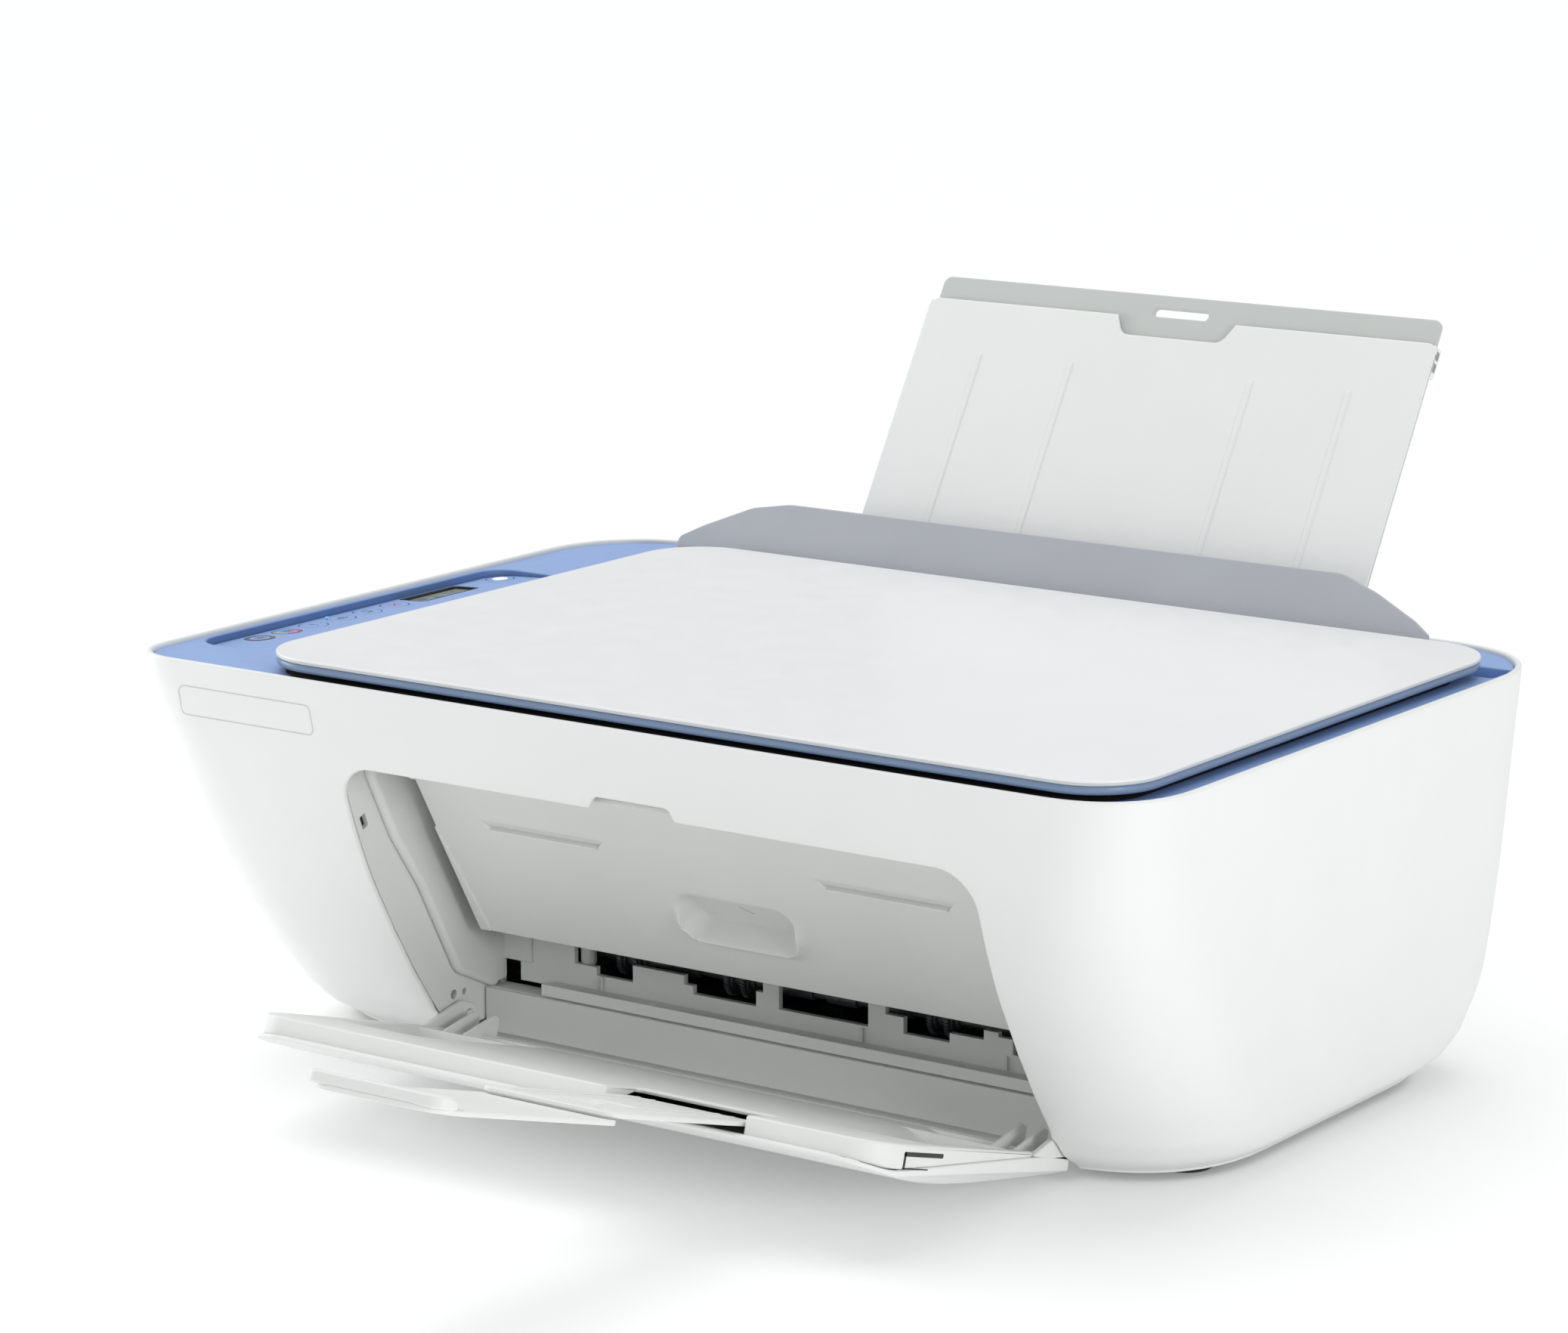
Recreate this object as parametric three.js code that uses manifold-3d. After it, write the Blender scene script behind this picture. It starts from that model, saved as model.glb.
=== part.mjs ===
// Inkjet printer with a flat-bed scanner lid, rear paper feed and fold-down output tray.
// Millimetres, +Z up, front towards -Y. All sizes are worked out from the values below.
import * as THREE from "three";
import { mergeVertices } from "three/addons/utils/BufferGeometryUtils.js";
import Module from "manifold-3d";

const wasm = await Module();
wasm.setup();

// ---------------------------------------------------------------- driving dimensions
const DEG = Math.PI / 180;
const GAP = 0.4; // running gap between neighbouring pieces
const WALL = 2.2; // outer shell
const RIM_Z = 148; // top edge of the outer shell
const FLOOR_Z = 3; // lower edge of the outer shell

// Outer shell sections: height, front, half width, back, front corner, back corner.
const SECTIONS = [
  [148, -150, 212.5, 143, 38, 50],
  [121, -148.3, 211, 140.6, 40, 49],
  [98, -141.5, 209.6, 139.4, 44, 49],
  [75, -132, 208.2, 138, 48, 49],
  [52, -119.5, 206.8, 135.7, 51.5, 50],
  [35, -109, 205.8, 131.4, 54.5, 50],
  [18, -97.6, 202.5, 124, 57, 50],
  [10, -90.5, 198.5, 118, 58, 50],
  [3, -81, 190, 108, 56, 48],
];
const CORNER_POWER = 2.4; // superellipse exponent of the shell's corners
const CORNER_STEPS = 7;

// Front opening.
const OPEN = { left: -114, right: 150, top: 118.5, radius: 17 };
const OPEN_MID = (OPEN.left + OPEN.right) / 2;
const NOTCH = { left: -4, right: 32, top: 123 };

// Scanner.
const LID = { left: -156, right: 204.5, front: -147, back: 113, bottom: 150.4, top: 154, radius: 25 };
const LID_AXIS = { y: 106.5, z: 149 };
const BED = { left: -127, right: 175, front: -126, back: 89 };
const FRAME = { bottom: 138.7, top: 146.5 };
const GLASS = { bottom: 140.2, top: 143.2 };
const GROOVE = { front: 98.5, back: 114.8, floor: 142.5 };

// Rear paper feed: the paper's face leans back from the vertical.
const LEAN = 31.17 * DEG;
const FACE = { y: 223.5, z: 328.7 }; // top edge of a letter sheet's face
const PAPER_MID = 20;
const PAPER_WIDTH = 216;
const CHUTE = { left: PAPER_MID - 124, right: PAPER_MID + 124, near: 14.8, far: 16.7 };
const SUPPORT = { half: PAPER_WIDTH / 2 + 7, near: 17.2, far: 22.9, foot: 118, top: 242, rail: 7 };
const REST = { half: PAPER_WIDTH / 2 - 0.6, near: 19.9, far: 22.8, foot: 132, top: 252 };
const SHIELD = { left: -163, right: 171, foot: 149.6, top: 171, y: 115.1, thick: 2 };

// Output tray: its closed shape is the front of the shell, turned down about the hinge.
const HINGE = { y: -80.5, z: 13 };
const TRAY_SLOPE = 16.3 * DEG; // of the tray's inner face when open
const TRAY_OPENS = 47 * DEG;
const TRAY_SKIN = 2.5;
const TRAY_FACE = -5.1; // inner face, measured square to it from the hinge
const TRAY_TIP = 119;
const ARM = { left: 42, right: 96 };
const TRAY_REACH = 276.6; // hinge to the outer end of the extended arm

// Paper drive.
const EXIT_AXIS = { y: -46, z: 21 };
const STAR_AXIS = { y: -46, z: 34.5 };
const FEED_AXIS = { y: 40, z: 20.5 };
const PINCH_AXIS = { y: 40, z: 33.6 };
const PICK_AXIS = { y: 71.5, z: 101.4 };
const CHASSIS = { left: -165, right: 197 };
const ROLLER_X = [-58, -13, 32, 72, 116];

// Access door to the cartridges.
const DOOR_AXIS = { y: -120.5, z: 114 };
const DOOR_FOOT = { y: -82, z: 47.6 };
const DOOR_HALF = 123;

// Carriage, parked at the right.
const CARRIAGE = { left: 137, right: 193, front: -34, back: 24, bottom: 31, top: 97 };
const RAIL = { y: 30, z: 70, radius: 4 };
const BELT = { y: 30, bottom: 101, top: 106, radius: 6.5, left: -150, right: 188 };

// ---------------------------------------------------------------- solids
function solid(geometry) {
  const g = geometry.clone();
  g.deleteAttribute("normal");
  g.deleteAttribute("uv");
  const merged = mergeVertices(g, 1e-4);
  const vertProperties = new Float32Array(merged.attributes.position.array);
  const triVerts = new Uint32Array(merged.index.array);
  return new wasm.Manifold(new wasm.Mesh({ numProp: 3, vertProperties, triVerts }));
}

function geometryOf(piece) {
  const mesh = piece.getMesh();
  const g = new THREE.BufferGeometry();
  g.setAttribute("position", new THREE.BufferAttribute(new Float32Array(mesh.vertProperties), 3));
  g.setIndex(new THREE.BufferAttribute(new Uint32Array(mesh.triVerts), 1));
  const flat = g.toNonIndexed();
  flat.computeVertexNormals();
  return flat;
}

const join = (pieces) => pieces.reduce((sum, piece) => sum.add(piece));
const cut = (piece, cutters) => cutters.reduce((rest, cutter) => rest.subtract(cutter), piece);

function box(x0, x1, y0, y1, z0, z1) {
  const g = new THREE.BoxGeometry(x1 - x0, y1 - y0, z1 - z0);
  return solid(g.translate((x0 + x1) / 2, (y0 + y1) / 2, (z0 + z1) / 2));
}

function extruded(points, depth) {
  const shape = new THREE.Shape(points.map(([a, b]) => new THREE.Vector2(a, b)));
  return new THREE.ExtrudeGeometry(shape, { depth, bevelEnabled: false, steps: 1 });
}

// An outline of [y, z] points, extruded along X.
function prismX(points, x0, x1) {
  const g = extruded(points, x1 - x0);
  const turn = new THREE.Matrix4().set(0, 0, 1, x0, 1, 0, 0, 0, 0, 1, 0, 0, 0, 0, 0, 1);
  return solid(g.applyMatrix4(turn));
}

// An outline of [x, z] points, extruded along Y.
function prismY(points, y0, y1) {
  const g = extruded(points, y1 - y0);
  const turn = new THREE.Matrix4().set(1, 0, 0, 0, 0, 0, -1, y1, 0, 1, 0, 0, 0, 0, 0, 1);
  return solid(g.applyMatrix4(turn));
}

// An outline of [x, y] points, extruded up Z.
function prismZ(points, z0, z1) {
  return solid(extruded(points, z1 - z0).translate(0, 0, z0));
}

function roundedOutline(x0, x1, y0, y1, radius, steps = 6) {
  const points = [];
  const corners = [[x1, y1, 0], [x0, y1, 90], [x0, y0, 180], [x1, y0, 270]];
  for (const [x, y, start] of corners) {
    const cx = x === x1 ? x1 - radius : x0 + radius;
    const cy = y === y1 ? y1 - radius : y0 + radius;
    for (let i = 0; i <= steps; i++) {
      const a = (start + (90 * i) / steps) * DEG;
      points.push([cx + radius * Math.cos(a), cy + radius * Math.sin(a)]);
    }
  }
  return points;
}

// A cylinder along X, Y or Z. The two places are the coordinates across its axis.
function rod(axis, radius, from, to, across, sides = 16) {
  const g = new THREE.CylinderGeometry(radius, radius, to - from, sides);
  const mid = (from + to) / 2;
  if (axis === "x") g.rotateZ(Math.PI / 2).translate(mid, across[0], across[1]);
  if (axis === "y") g.translate(across[0], mid, across[1]);
  if (axis === "z") g.rotateX(Math.PI / 2).translate(across[0], across[1], mid);
  return solid(g);
}

// ---------------------------------------------------------------- outer shell form
function sectionAt(z) {
  const upper = SECTIONS.findIndex((row, i) => i > 0 && z >= row[0]);
  const i = upper === -1 ? SECTIONS.length - 1 : upper;
  const t = (SECTIONS[i - 1][0] - z) / (SECTIONS[i - 1][0] - SECTIONS[i][0]);
  const at = (k) => SECTIONS[Math.min(Math.max(k, 0), SECTIONS.length - 1)];
  return SECTIONS[i].map((_, c) => {
    const [a, b, d, e] = [at(i - 2)[c], at(i - 1)[c], at(i)[c], at(i + 1)[c]];
    const cubic = 2 * b + (d - a) * t + (2 * a - 5 * b + 4 * d - e) * t * t;
    return c === 0 ? z : (cubic + (3 * b - a - 3 * d + e) * t * t * t) / 2;
  });
}

const frontAt = (z) => sectionAt(z)[1];

function ring(z, inset) {
  const [, front, half, back, frontCorner, backCorner] = sectionAt(z);
  const points = [];
  const quarter = (cx, cy, r, start) => {
    for (let i = 0; i <= CORNER_STEPS; i++) {
      const a = (start + (90 * i) / CORNER_STEPS) * DEG;
      const bend = (v) => Math.sign(v) * Math.abs(v) ** (2 / CORNER_POWER);
      points.push([cx + r * bend(Math.cos(a)), cy + r * bend(Math.sin(a))]);
    }
  };
  const h = half - inset;
  const fc = frontCorner - inset;
  const bc = backCorner - inset;
  quarter(h - bc, back - inset - bc, bc, 0);
  quarter(-h + bc, back - inset - bc, bc, 90);
  quarter(-h + fc, front + inset + fc, fc, 180);
  quarter(h - fc, front + inset + fc, fc, 270);
  return points;
}

// A closed solid through the shell's sections at the given heights.
function loft(heights, inset) {
  const rings = heights.map((z) => ring(z, inset).map(([x, y]) => [x, y, z]));
  const count = rings[0].length;
  const vertices = rings.flat();
  const faces = [];
  rings.slice(1).forEach((_, level) => {
    for (let i = 0; i < count; i++) {
      const a = level * count + i;
      const b = level * count + ((i + 1) % count);
      faces.push(a, b, b + count, a, b + count, a + count);
    }
  });
  const cap = (level, flip) => {
    const mid = vertices.length;
    const z = heights[level];
    vertices.push([0, 0, z]);
    for (let i = 0; i < count; i++) {
      const a = level * count + i;
      const b = level * count + ((i + 1) % count);
      faces.push(...(flip ? [b, a, mid] : [a, b, mid]));
    }
  };
  cap(0, true);
  cap(rings.length - 1, false);
  const g = new THREE.BufferGeometry();
  g.setAttribute("position", new THREE.Float32BufferAttribute(vertices.flat(), 3));
  g.setIndex(faces);
  return solid(g);
}

// ---------------------------------------------------------------- materials and scene
const paint = (color, roughness, metalness = 0) =>
  new THREE.MeshStandardMaterial({ color, roughness, metalness });
const WHITE = paint(0xeef0ee, 0.5);
const LIGHT_GREY = paint(0xc9cbc8, 0.55);
const MID_GREY = paint(0x8d8f8e, 0.55);
const BLUE = paint(0x8faede, 0.5);
const BLACK = paint(0x1b1c1d, 0.5);
const RUBBER = paint(0x2b2b2c, 0.85);
const STEEL = paint(0xb9bcc0, 0.3, 1);
const GLASSY = paint(0xaab4b8, 0.1);
const SMOKE = paint(0xa5a8af, 0.2);
const CYAN = paint(0x39b4cf, 0.4);
const BOARD = paint(0x2f6d46, 0.6);

const printer = new THREE.Group();

function add(name, piece, material, parent = printer) {
  const mesh = new THREE.Mesh(geometryOf(piece), material);
  mesh.name = name;
  parent.add(mesh);
  return mesh;
}

// ---------------------------------------------------------------- casing
const SHELL_HEIGHTS = [148, 134, 121, 98, 75, 52, 35, 24, 16, 10, 6, 3].reverse();

function frontOpening(grow) {
  const { left, right, top, radius } = OPEN;
  const outline = roundedOutline(left - grow, right + grow, -60, top + grow, radius + grow);
  return prismY(outline, -200, -30);
}

const SOCKETS = { inlet: [-142, -116, 22, 44], usb: [-104, -90, 24, 38] };
const REAR_HOLE = [-82, 122, 44, 110];

function outerShell() {
  const outer = loft(SHELL_HEIGHTS, 0);
  const inner = loft([...SHELL_HEIGHTS].map((z) => (z === 3 ? 2.9 : z)), WALL);
  const above = loft(SHELL_HEIGHTS, WALL).add(prismZ(ring(146, WALL), 147, 160));
  const below = prismZ(ring(4, WALL + 6), -5, 8);
  const shell = cut(outer, [above, below, inner]);
  const supportSlot = box(CHUTE.left - 2, CHUTE.right + 2, 130, 160, 137, 160);
  const holes = Object.values(SOCKETS).map(([x0, x1, z0, z1]) => box(x0, x1, 90, 160, z0, z1));
  const notch = box(NOTCH.left, NOTCH.right, -200, -100, 80, NOTCH.top);
  const rear = box(REAR_HOLE[0], REAR_HOLE[1], 100, 160, REAR_HOLE[2], REAR_HOLE[3]);
  return cut(shell, [frontOpening(0), notch, supportSlot, rear, ...holes]);
}
add("outer_shell", outerShell(), WHITE);

function basePan() {
  const plate = prismZ(ring(5, WALL + 2.4), 4.6, 7.4);
  const trayBay = box(OPEN.left - 4, OPEN.right + 4, -200, -66, -10, 20);
  const rib = (x) => box(x - 1, x + 1, -40, 60, 7.2, 10);
  return cut(plate, [trayBay]).add(join([-140, -60, 60, 160].map(rib)));
}
add("base_pan", basePan(), MID_GREY);

const FEET = [["front_left", -165, -48], ["front_right", 172, -48], ["rear_left", -150, 78], ["rear_right", 150, 78]];
for (const [name, x, y] of FEET) {
  add("foot_" + name, rod("z", 10, 0, 4.3, [x, y], 20), RUBBER);
}

function topFrame() {
  const slab = prismZ(ring(FRAME.bottom, WALL + 0.5), FRAME.bottom, FRAME.top);
  const { left, right, front, back } = BED;
  const window = box(left, right, front, back, 100, 200);
  const rebate = box(left - 4, right + 4, front - 4, back + 4, 100, GLASS.top + 0.3);
  const groove = box(LID.left - 3, LID.right + 2.2, GROOVE.front, GROOVE.back, GROOVE.floor, 200);
  const slot = box(CHUTE.left - 2, CHUTE.right + 2, GROOVE.back + 0.4, 200, 100, 200);
  const panelWell = prismZ(roundedOutline(-208.3, -160, -111, 59, 12), 142, 200);
  const boardWell = box(-207.2, -163, -104, 57.4, 100, 142.5);
  return cut(slab, [window, rebate, groove, slot, panelWell, boardWell]);
}
add("top_frame", topFrame(), BLUE);
const { left: bedLeft, right: bedRight, front: bedFront, back: bedBack } = BED;
add("scanner_glass", box(bedLeft - 3.5, bedRight + 3.5, bedFront - 3.5, bedBack + 3.5, GLASS.bottom, GLASS.top), GLASSY);

const SCAN = { left: -150, right: 192, front: -136, back: 94, bottom: 123.5, top: 138.2 };
function scannerTub() {
  const outer = box(SCAN.left, SCAN.right, SCAN.front, SCAN.back, SCAN.bottom, SCAN.top);
  const inner = box(SCAN.left + 2, SCAN.right - 2, SCAN.front + 2, SCAN.back - 2, SCAN.bottom + 2, 200);
  const rail = rod("x", 2, SCAN.left + 1, SCAN.right - 1, [-20, 128.6], 12);
  return cut(outer, [inner]).add(rail);
}
add("scanner_tub", scannerTub(), BLACK);

function scanBar() {
  const bar = box(-140, -122, SCAN.front + 5, SCAN.back - 5, 131, 138);
  const shoe = box(-140, -122, -28, -12, 126.2, 132);
  return cut(bar.add(shoe), [rod("x", 2.4, -150, -110, [-20, 128.6], 12)]);
}
add("scan_bar", scanBar(), BLACK);

// ---------------------------------------------------------------- control panel
const BUTTONS = [
  ["copy_button", -90], ["colour_copy_button", -75], ["information_button", -60], ["wireless_button", -44],
  ["resume_button", -29], ["cancel_button", -13], ["power_button", 51],
];
const BUTTON = { x: -200, radius: 5.4, bottom: 140, top: 145 };
const LIGHT = { x: -206.3, y: -45, radius: 0.6 };

function controlPanel() {
  const plate = prismZ(roundedOutline(-207.9, -160.4, -110.6, 58.6, 11.6), 142.4, 144.2);
  const holes = BUTTONS.map(([, y]) => rod("z", BUTTON.radius + 0.4, 130, 160, [BUTTON.x, y], 20));
  const display = box(-207.2, -193.2, -3.6, 31.6, 130, 160);
  const light = rod("z", LIGHT.radius + 0.2, 130, 160, [LIGHT.x, LIGHT.y], 12);
  return cut(plate, [...holes, display, light]);
}
add("control_panel", controlPanel(), BLUE);
for (const [name, y] of BUTTONS) {
  const { x, radius, bottom, top } = BUTTON;
  const cap = rod("z", radius, bottom + 1.2, top, [x, y], 20);
  add(name, cap.add(rod("z", 2, bottom, bottom + 2, [x, y], 12)), BLUE);
}
add("display", box(-206.8, -193.6, -3.2, 31.2, 141, 144.7), GLASSY);
add("wireless_light", rod("z", LIGHT.radius, 140.4, 144.6, [LIGHT.x, LIGHT.y], 12), CYAN);
add("control_board", box(-204, -165, -100, 50, 136.8, 138.4), BOARD);

// ---------------------------------------------------------------- scanner lid
const lidOutline = (grow) =>
  roundedOutline(LID.left + grow, LID.right - grow, LID.front + grow, LID.back - grow, LID.radius - grow);

function lidHinge(x) {
  const arm = box(x - 10, x + 10, LID_AXIS.y - 4, LID_AXIS.y + 2.5, LID_AXIS.z - 3, LID.bottom + 1);
  return arm.add(rod("x", 2, x - 13, x + 13, [LID_AXIS.y, LID_AXIS.z - 0.6], 12));
}

function lidCover() {
  const top = prismZ(lidOutline(0), LID.bottom + 0.4, LID.top);
  const band = prismZ(lidOutline(3), LID.bottom - 1.8, LID.bottom + 1);
  const hollow = prismZ(lidOutline(9), 100, 152);
  const behind = box(-300, 300, LID.back - 14, 200, 100, 152);
  return join([top, cut(band, [hollow, behind]), ...[-128, 176].map(lidHinge)]);
}
add("lid_cover", lidCover(), WHITE);
add("lid_pad", prismZ(roundedOutline(bedLeft + 2, bedRight - 2, bedFront + 2, bedBack - 4, 4), 144, LID.bottom), WHITE);

// ---------------------------------------------------------------- rear paper feed
const faceY = (z) => FACE.y - (FACE.z - z) * Math.tan(LEAN);
const slab = (near, far, z0, z1) => [
  [faceY(z0) + near, z0], [faceY(z0) + far, z0], [faceY(z1) + far, z1], [faceY(z1) + near, z1],
];

function feedChute() {
  const topZ = 146;
  const bendZ = 64;
  const foot = { y: FEED_AXIS.y + 9, z: 22 };
  // From the straight slope down to the foot, turning about the point where the slope meets its height.
  const bend = (offset, drop) => {
    const start = new THREE.Vector2(faceY(bendZ) + offset, bendZ);
    const knee = new THREE.Vector2(faceY(foot.z + 8) + offset, foot.z + 8);
    const end = new THREE.Vector2(foot.y, foot.z - drop);
    return new THREE.QuadraticBezierCurve(start, knee, end).getPoints(6).map((p) => [p.x, p.y]);
  };
  const near = [[faceY(topZ) + CHUTE.near, topZ], ...bend(CHUTE.near, 0)];
  const far = [[faceY(topZ) + CHUTE.far, topZ], ...bend(CHUTE.far, 2)];
  return prismX([...far, ...near.reverse()].reverse(), CHUTE.left, CHUTE.right);
}
add("feed_chute", feedChute(), LIGHT_GREY);

function paperSupport() {
  const { half, near, far, foot, top } = SUPPORT;
  const plate = prismX(slab(near, far, foot, top), PAPER_MID - half, PAPER_MID + half);
  const { rail } = SUPPORT;
  const track = prismX(slab(near + 2.3, far + 1, foot + 3, top + 2), PAPER_MID - half + rail, PAPER_MID + half - rail);
  const grip = prismX(slab(near - 1, far + 1, top - 9, top + 2), PAPER_MID - 26, PAPER_MID + 26);
  return cut(plate, [track, grip]);
}
add("paper_support", paperSupport(), WHITE);

function supportRest() {
  const { half, near, far, foot, top } = REST;
  return prismX(slab(near, far, foot, top), PAPER_MID - half, PAPER_MID + half);
}
add("support_extender", supportRest(), LIGHT_GREY);

const GUIDE = { low: 130, high: 163, depth: 7.8 };
for (const [side, sign] of [["left", -1], ["right", 1]]) {
  const x = PAPER_MID + sign * (PAPER_WIDTH / 2 + 2.2);
  const wall = slab(CHUTE.near - GUIDE.depth, CHUTE.near - GAP, GUIDE.low, GUIDE.high);
  const flange = slab(CHUTE.near - 2.4, CHUTE.near - GAP, GUIDE.low, 145);
  const guide = prismX(wall, x - 1.2, x + 1.2).add(prismX(flange, x - (sign > 0 ? 1 : 9), x + (sign > 0 ? 9 : 1)));
  add("width_guide_" + side, guide, LIGHT_GREY);
}

function inputShield() {
  const { left, right, foot, top, y, thick } = SHIELD;
  const tilt = (z) => y + (z - foot) * Math.tan(LEAN);
  const section = [[tilt(foot), foot], [tilt(foot) + thick, foot], [tilt(top) + thick, top], [tilt(top), top]];
  const raised = (x, z) => [x, z];
  const outline = [
    raised(left, 0), raised(right, 0), raised(right, 158), raised(right - 8, 164), raised(right - 26, 169),
    raised(right - 48, top), raised(left + 47, top), raised(left + 30, 168.5), raised(left + 10, 160), raised(left, 155),
  ];
  const plate = prismX(section, left, right).intersect(prismY(outline, 0, 300));
  const pivots = [left + 8, right - 8].map((x) => rod("x", 1.8, x - 6, x + 6, [y + 1.4, foot + 0.4], 12));
  return join([plate, ...pivots]);
}
add("input_shield", inputShield(), SMOKE);

// ---------------------------------------------------------------- front frame and access door
function frontFrame() {
  const top = OPEN.top + 0.8;
  const edge = [];
  for (let z = 8; z <= 118; z += 11) edge.push([frontAt(z) + WALL + 1.6, z]);
  edge.push([frontAt(121) + WALL + 1.6, top + 2.6]);
  const cheek = [[-56, 8], [-56, 60], [-98, top + 2.6]];
  const outline = [...edge.reverse(), ...cheek];
  const holeY = -133.6;
  const holeZ = 95.6;
  const sides = [
    prismX(outline, OPEN.left - 3.4, OPEN.left - GAP), prismX(outline, OPEN.right + GAP, OPEN.right + 3.4),
  ];
  const latches = [box(-200, -100, holeY - 5, holeY + 5, holeZ - 3, holeZ + 3), box(140, 200, holeY - 5, holeY + 5, holeZ - 3, holeZ + 3)];
  const bar = box(OPEN.left - 3.4, OPEN.right + 3.4, -142, -100, top, top + 2.6);
  const pins = [
    rod("x", 2.2, OPEN.left - 3, OPEN.left + 4.4, [HINGE.y, HINGE.z], 12),
    rod("x", 2.2, OPEN.right - 4.4, OPEN.right + 3, [HINGE.y, HINGE.z], 12),
    rod("x", 1.8, OPEN.left - 3, OPEN_MID - DOOR_HALF + 3.4, [DOOR_AXIS.y, DOOR_AXIS.z], 12),
    rod("x", 1.8, OPEN_MID + DOOR_HALF - 1.4, OPEN.right + 3, [DOOR_AXIS.y, DOOR_AXIS.z], 12),
  ];
  const ramp = [[-67, 9.4], [-57.5, 9.4], [-57.5, 20.6], [-60, 20.6], [-67, 17]];
  const guide = prismX(ramp, OPEN.left - 1, OPEN.right + 1);
  return join([cut(join(sides), latches), bar, guide, ...pins]);
}
add("front_frame", frontFrame(), LIGHT_GREY);

function accessDoor() {
  const dy = DOOR_FOOT.y - DOOR_AXIS.y;
  const dz = DOOR_FOOT.z - DOOR_AXIS.z;
  const length = Math.hypot(dy, dz);
  const along = [dy / length, dz / length];
  const inward = [-along[1], along[0]];
  const at = (s, w) => [DOOR_AXIS.y + along[0] * s + inward[0] * w, DOOR_AXIS.z + along[1] * s + inward[1] * w];
  const left = OPEN_MID + 2 - DOOR_HALF;
  const right = OPEN_MID + 2 + DOOR_HALF;
  const panel = prismX([at(-2, -1.2), at(-2, 1.4), at(length, 1.4), at(length, -1.2)], left, right);
  const flange = [at(-2, 0), at(6, 9), at(length - 6, 9), at(length, 0)];
  const sides = [prismX(flange, left, left + 2.4), prismX(flange, right - 2.4, right)];
  const scoop = prismX([at(36, -0.4), at(38, 7), at(56, 7), at(57, -0.4)], OPEN_MID - 23, OPEN_MID + 27);
  const hollow = prismX([at(37.5, -3), at(39.6, 5.2), at(54.2, 5.2), at(55.4, -3)], OPEN_MID - 21.2, OPEN_MID + 25.2);
  const ridges = [[-80, -28], [62, 114]].map(([x0, x1]) => prismX([at(20, -1), at(20.6, -2.6), at(22.4, -2.6), at(23, -1)], x0, x1));
  const bores = rod("x", 2.2, left - 1, left + 4, [DOOR_AXIS.y, DOOR_AXIS.z], 12)
    .add(rod("x", 2.2, right - 4, right + 1, [DOOR_AXIS.y, DOOR_AXIS.z], 12));
  const ears = [rod("x", 4, left, left + 2.4, [DOOR_AXIS.y, DOOR_AXIS.z], 16), rod("x", 4, right - 2.4, right, [DOOR_AXIS.y, DOOR_AXIS.z], 16)];
  return cut(join([panel, ...sides, scoop, ...ridges, ...ears]), [hollow, bores]);
}
add("access_door", accessDoor(), LIGHT_GREY);

// ---------------------------------------------------------------- paper exit
const COMB = { back: -57.5, front: -60, foot: 23, top: 39.5, left: -104, right: 144 };
const COMB_NOTCHES = [
  [-79, -69, 33], [-69, -52, 30], [-52, -29, 36.4], [-29, 2, 30], [12, 50, 30.6], [58, 65, 36.4],
  [65, 84, 30.6], [84, 106, 34], [110, 132, 30.6],
];

function exitGuide() {
  const comb = box(COMB.left, COMB.right, COMB.front, COMB.back, COMB.foot, COMB.top);
  const notches = COMB_NOTCHES.map(([x0, x1, z]) => box(x0, x1, -70, -50, z, 60));
  const ledge = box(-88, 128, -66.5, COMB.front + 0.1, 22.6, 25);
  const lip = box(-88, 128, -67.6, -66.4, 21, 25.4);
  const ends = [box(COMB.left - 9.4, COMB.left + 6, -60, -50, 30, 42), box(COMB.right - 6, COMB.right + 5.4, -60, -50, 30, 42)];
  return join([cut(comb, notches), ledge, lip, ...ends]);
}
add("exit_guide", exitGuide(), LIGHT_GREY);

function platen() {
  const base = box(-108, 150, -34, 30, 18.5, 22);
  const rib = (x) => box(x - 1, x + 1, -33, 29, 21, 26.4);
  const ribs = Array.from({ length: 9 }, (_, i) => rib(PAPER_MID - 104 + 26 * i));
  return join([base, ...ribs]);
}
add("platen", platen(), BLACK);

// ---------------------------------------------------------------- rollers
function rollerShaft(axis, shaftRadius, radius, width, from, to, places, sides = 18) {
  const at = [axis.y, axis.z];
  const discs = places.map((x) => rod("x", radius, x - width / 2, x + width / 2, at, sides));
  return join([rod("x", shaftRadius, from, to, at, 12), ...discs]);
}

function gear(axis, radius, teeth, x0, x1) {
  const points = [];
  for (let i = 0; i < teeth; i++) {
    for (const [part, r] of [[-0.3, radius - 1], [-0.12, radius + 0.9], [0.12, radius + 0.9], [0.3, radius - 1]]) {
      const a = ((i + part) / teeth) * 2 * Math.PI;
      points.push([axis.y + r * Math.cos(a), axis.z + r * Math.sin(a)]);
    }
  }
  return prismX(points, x0, x1);
}

const shaftEnds = [CHASSIS.left - 8, CHASSIS.right - 4];
const rubberRollers = (axis, radius) => rollerShaft(axis, 2.6, radius, 14, ...shaftEnds, ROLLER_X);
const TRANSFER = { x: CHASSIS.left - 5, half: 2.4, exit: 7.2, feed: 7.8 };
const transferPulley = (axis, radius) =>
  rod("x", radius, TRANSFER.x - TRANSFER.half, TRANSFER.x + TRANSFER.half, [axis.y, axis.z], 20);
const exitPiece = rubberRollers(EXIT_AXIS, 6).add(transferPulley(EXIT_AXIS, TRANSFER.exit));
add("exit_roller", exitPiece, RUBBER);
const feedPiece = rollerShaft(FEED_AXIS, 3, 6.5, 18, ...shaftEnds, ROLLER_X)
  .add(transferPulley(FEED_AXIS, TRANSFER.feed));
add("feed_roller", feedPiece, RUBBER);
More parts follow.
